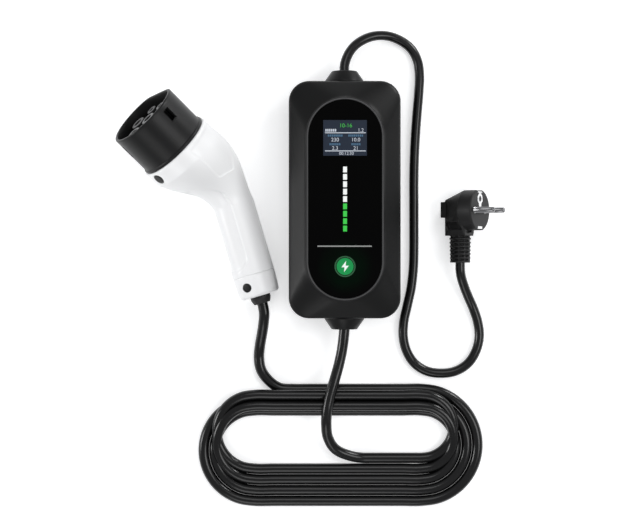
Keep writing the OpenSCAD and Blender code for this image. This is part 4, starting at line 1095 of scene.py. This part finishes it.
def makeKeyBolt():
    bolt = bmesh.new()
    low = keyHigh[2] - signs["sink"]
    face = bolt.faces.new([bolt.verts.new((x, keyY + y, low)) for x, y in signs["bolt"]])
    raised = bmesh.ops.extrude_face_region(bolt, geom=[face])["geom"]
    top = [part for part in raised if isinstance(part, bmesh.types.BMVert)]
    bmesh.ops.translate(bolt, verts=top, vec=(0, 0, signs["sink"] + signs["proud"]))
    bmesh.ops.recalc_face_normals(bolt, faces=bolt.faces)
    finishPiece("keyBolt", bolt, "boltWhite")


makeDisplaySigns()
makeCaptionRule()
makeKeyBolt()
print("panel signs ready")


# Mains plug: the moulded body, softened all over
plugBody = {"voxel": 0.4, "smoothing": 2, "smoothShare": 0.5}


def makePlugBody():
    body = smoothNode("plugBody", "plug_body", sharpAngle=180)
    melt = body.modifiers.new("melt", "REMESH")
    melt.mode = "VOXEL"
    melt.voxel_size = plugBody["voxel"] * mm
    melt.use_smooth_shade = True
    soften = body.modifiers.new("soften", "SMOOTH")
    soften.factor = plugBody["smoothShare"]
    soften.iterations = plugBody["smoothing"]
    bakeModifiers(body)
    body.data.materials.clear()
    body.data.materials.append(materials["plugBlack"])
    body.data.shade_smooth()
    return body


plugPieces = [makePlugBody(), smoothNode("mainsPins", "mains_pins", sharpAngle=40),
              smoothNode("earthClips", "earth_clips", sharpAngle=30)]
print("mains plug ready")


# Cords, along the routes that the frame's tubes take
cordSteps = {"along": 6, "around": 6}
mainsLead = {
    "length": 0.54,
    "exit": (0, 114, 22),
    "route": [
        (0, 108, 22), (0, 114, 22), (0, 118, 21.6), (2, 126, 20), (8, 136, 17), (17, 143, 13.5),
        (28, 147, 10), (40, 147, 7), (51, 143, 5), (60, 136, 4.4), (65.5, 126, 4.25),
        (67.5, 114, 4.25), (67, 98, 4.25), (65.5, 80, 4.25), (64, 60, 4.25), (63, 40, 4.25),
        (62.5, 20, 4.25), (62.5, 0, 4.25), (62.5, -20, 4.25), (62.5, -40, 4.25), (62, -60, 4.25),
        (60, -78, 4.25), (56.5, -94, 4.25), (53.5, -108, 4.25), (53, -121, 4.25),
        (56, -134, 4.25), (63, -145, 4.25), (74, -152, 4.25), (87, -154, 4.25),
        (100, -152, 4.25), (111, -145, 4.25), (118, -134, 4.25), (121, -121, 4.25),
        (119.5, -108, 4.4), (115.5, -96, 5.6), (110.5, -85, 8.6), (106, -74, 12.6),
        (103.8, -67, 15), (102.93, -61.1, 16.28), (102.93, -55, 16.28), (102.93, -40, 16.28),
    ],
}
chargeLead = {
    "length": 2.64,
    "exit": (0, -114, 22),
    # from the box's gland, over the near side of the bunch, down into the coil
    "fromBox": [
        (0, -106, 22), (0, -114, 22), (-0.5, -120, 22), (-2, -132, 21.4), (-5, -146, 21.6),
        (-9, -160, 23.2), (-13, -174, 23.8), (-15.5, -187, 23.8), (-16, -199, 22),
        (-14.5, -210, 17), (-8, -220.8, 12), (4, -227, 7.6),
    ],
    # from the coil's lowest turn up to the handle's bushing
    "toHandle": [
        (-57, -167.2, 4.75), (-68, -159.6, 4.75), (-74, -151, 4.75), (-76, -140, 4.8),
        (-75, -129, 7), (-73, -118, 11.5), (-71.5, -108, 15.5), (-71, -100, 17.5),
        (-72.62, -91.04, 17.79), (-74.61, -84.33, 17.85), (-77.5, -74.6, 17.94),
    ],
}
coil = {
    "centreX": -3,
    "rightReach": 72.3,      # where the straight runs end, from the centre
    "leftReach": 77.2,
    "stepsPerBend": 10,
    "shares": (0, 0.12, 0.5, 0.88, 1),
    # runs of the turns: place across and height, from the turn that lies lowest
    "farRuns": [(-168, 4.75), (-177.6, 4.75), (-187.2, 4.75), (-182.4, 13), (-172.8, 13)],
    "nearRuns": [(-268, 4.75), (-258.4, 4.75), (-248.8, 4.75), (-239.2, 4.75), (-229.6, 4.75)],
    "firstX": -46,
    "lastX": 18,
}


def coilEnd(start, end, reach, side):
    # half round from one run to another, level or climbing
    points = []
    midX = coil["centreX"] + side * reach
    midY = (start[0] + end[0]) / 2
    radius = abs(start[0] - end[0]) / 2
    towards = 1 if start[0] > end[0] else -1
    for i in range(1, coil["stepsPerBend"]):
        share = i / coil["stepsPerBend"]
        turn = pi * share
        points.append((midX + side * radius * sin(turn), midY + towards * radius * cos(turn),
                       mixed(start[1], end[1], ease(share))))
    return points


def coilRoute():
    # starts where the lead from the handle joins and ends where the lead to the box leaves
    right = coil["centreX"] + coil["rightReach"]
    left = coil["centreX"] - coil["leftReach"]
    far, near = coil["farRuns"], coil["nearRuns"]
    points = []
    for k in range(len(far)):
        first = left if k else coil["firstX"]
        points += [(mixed(first, right, share), *far[k]) for share in coil["shares"]]
        points += coilEnd(far[k], near[k], coil["rightReach"], 1)
        last = left if k < len(far) - 1 else coil["lastX"]
        points += [(mixed(right, last, share), *near[k]) for share in coil["shares"]]
        if k < len(far) - 1:
            points += coilEnd(near[k], far[k + 1], coil["leftReach"], -1)
    return points


def headingAt(before, here, after):
    # the way that a circle through the three points runs at the middle one
    back, ahead = here - before, after - here
    near, far = back.length, ahead.length
    if near and far:
        return (back * (far / near) + ahead * (near / far)).normalized()
    return (back + ahead).normalized()


def makeCord(name, points, diameter):
    data = bpy.data.curves.new(name, "CURVE")
    data.dimensions = "3D"
    data.resolution_u = cordSteps["along"]
    data.bevel_depth = diameter * mm / 2
    data.bevel_resolution = cordSteps["around"]
    data.use_fill_caps = True
    line = data.splines.new("BEZIER")
    line.bezier_points.add(len(points) - 1)
    places = [Vector(p) for p in points]
    lowest = diameter / 2
    for k, knot in enumerate(line.bezier_points):
        before, here, after = places[max(k - 1, 0)], places[k], places[min(k + 1, len(places) - 1)]
        heading = headingAt(before, here, after)
        knot.handle_left_type = knot.handle_right_type = "FREE"
        left = here - heading * (here - before).length / 3
        right = here + heading * (after - here).length / 3
        left.z, right.z = max(left.z, lowest), max(right.z, lowest)
        knot.co, knot.handle_left, knot.handle_right = here * mm, left * mm, right * mm
    data.materials.append(materials["cableBlack"])
    obj = addObject(name, data)
    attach(obj, "root")
    return obj


mainsCord = makeCord("mainsLeadCord", mainsLead["route"], cordSize["mains"])
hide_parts("mains_lead")

chargeRoute = chargeLead["fromBox"] + coilRoute()[::-1] + chargeLead["toHandle"]
chargeCord = makeCord("chargeLeadCord", chargeRoute, cordSize["charge"])
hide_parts("charge_lead_box_side", "charge_coil", "charge_lead_connector_side")
print("cords laid")
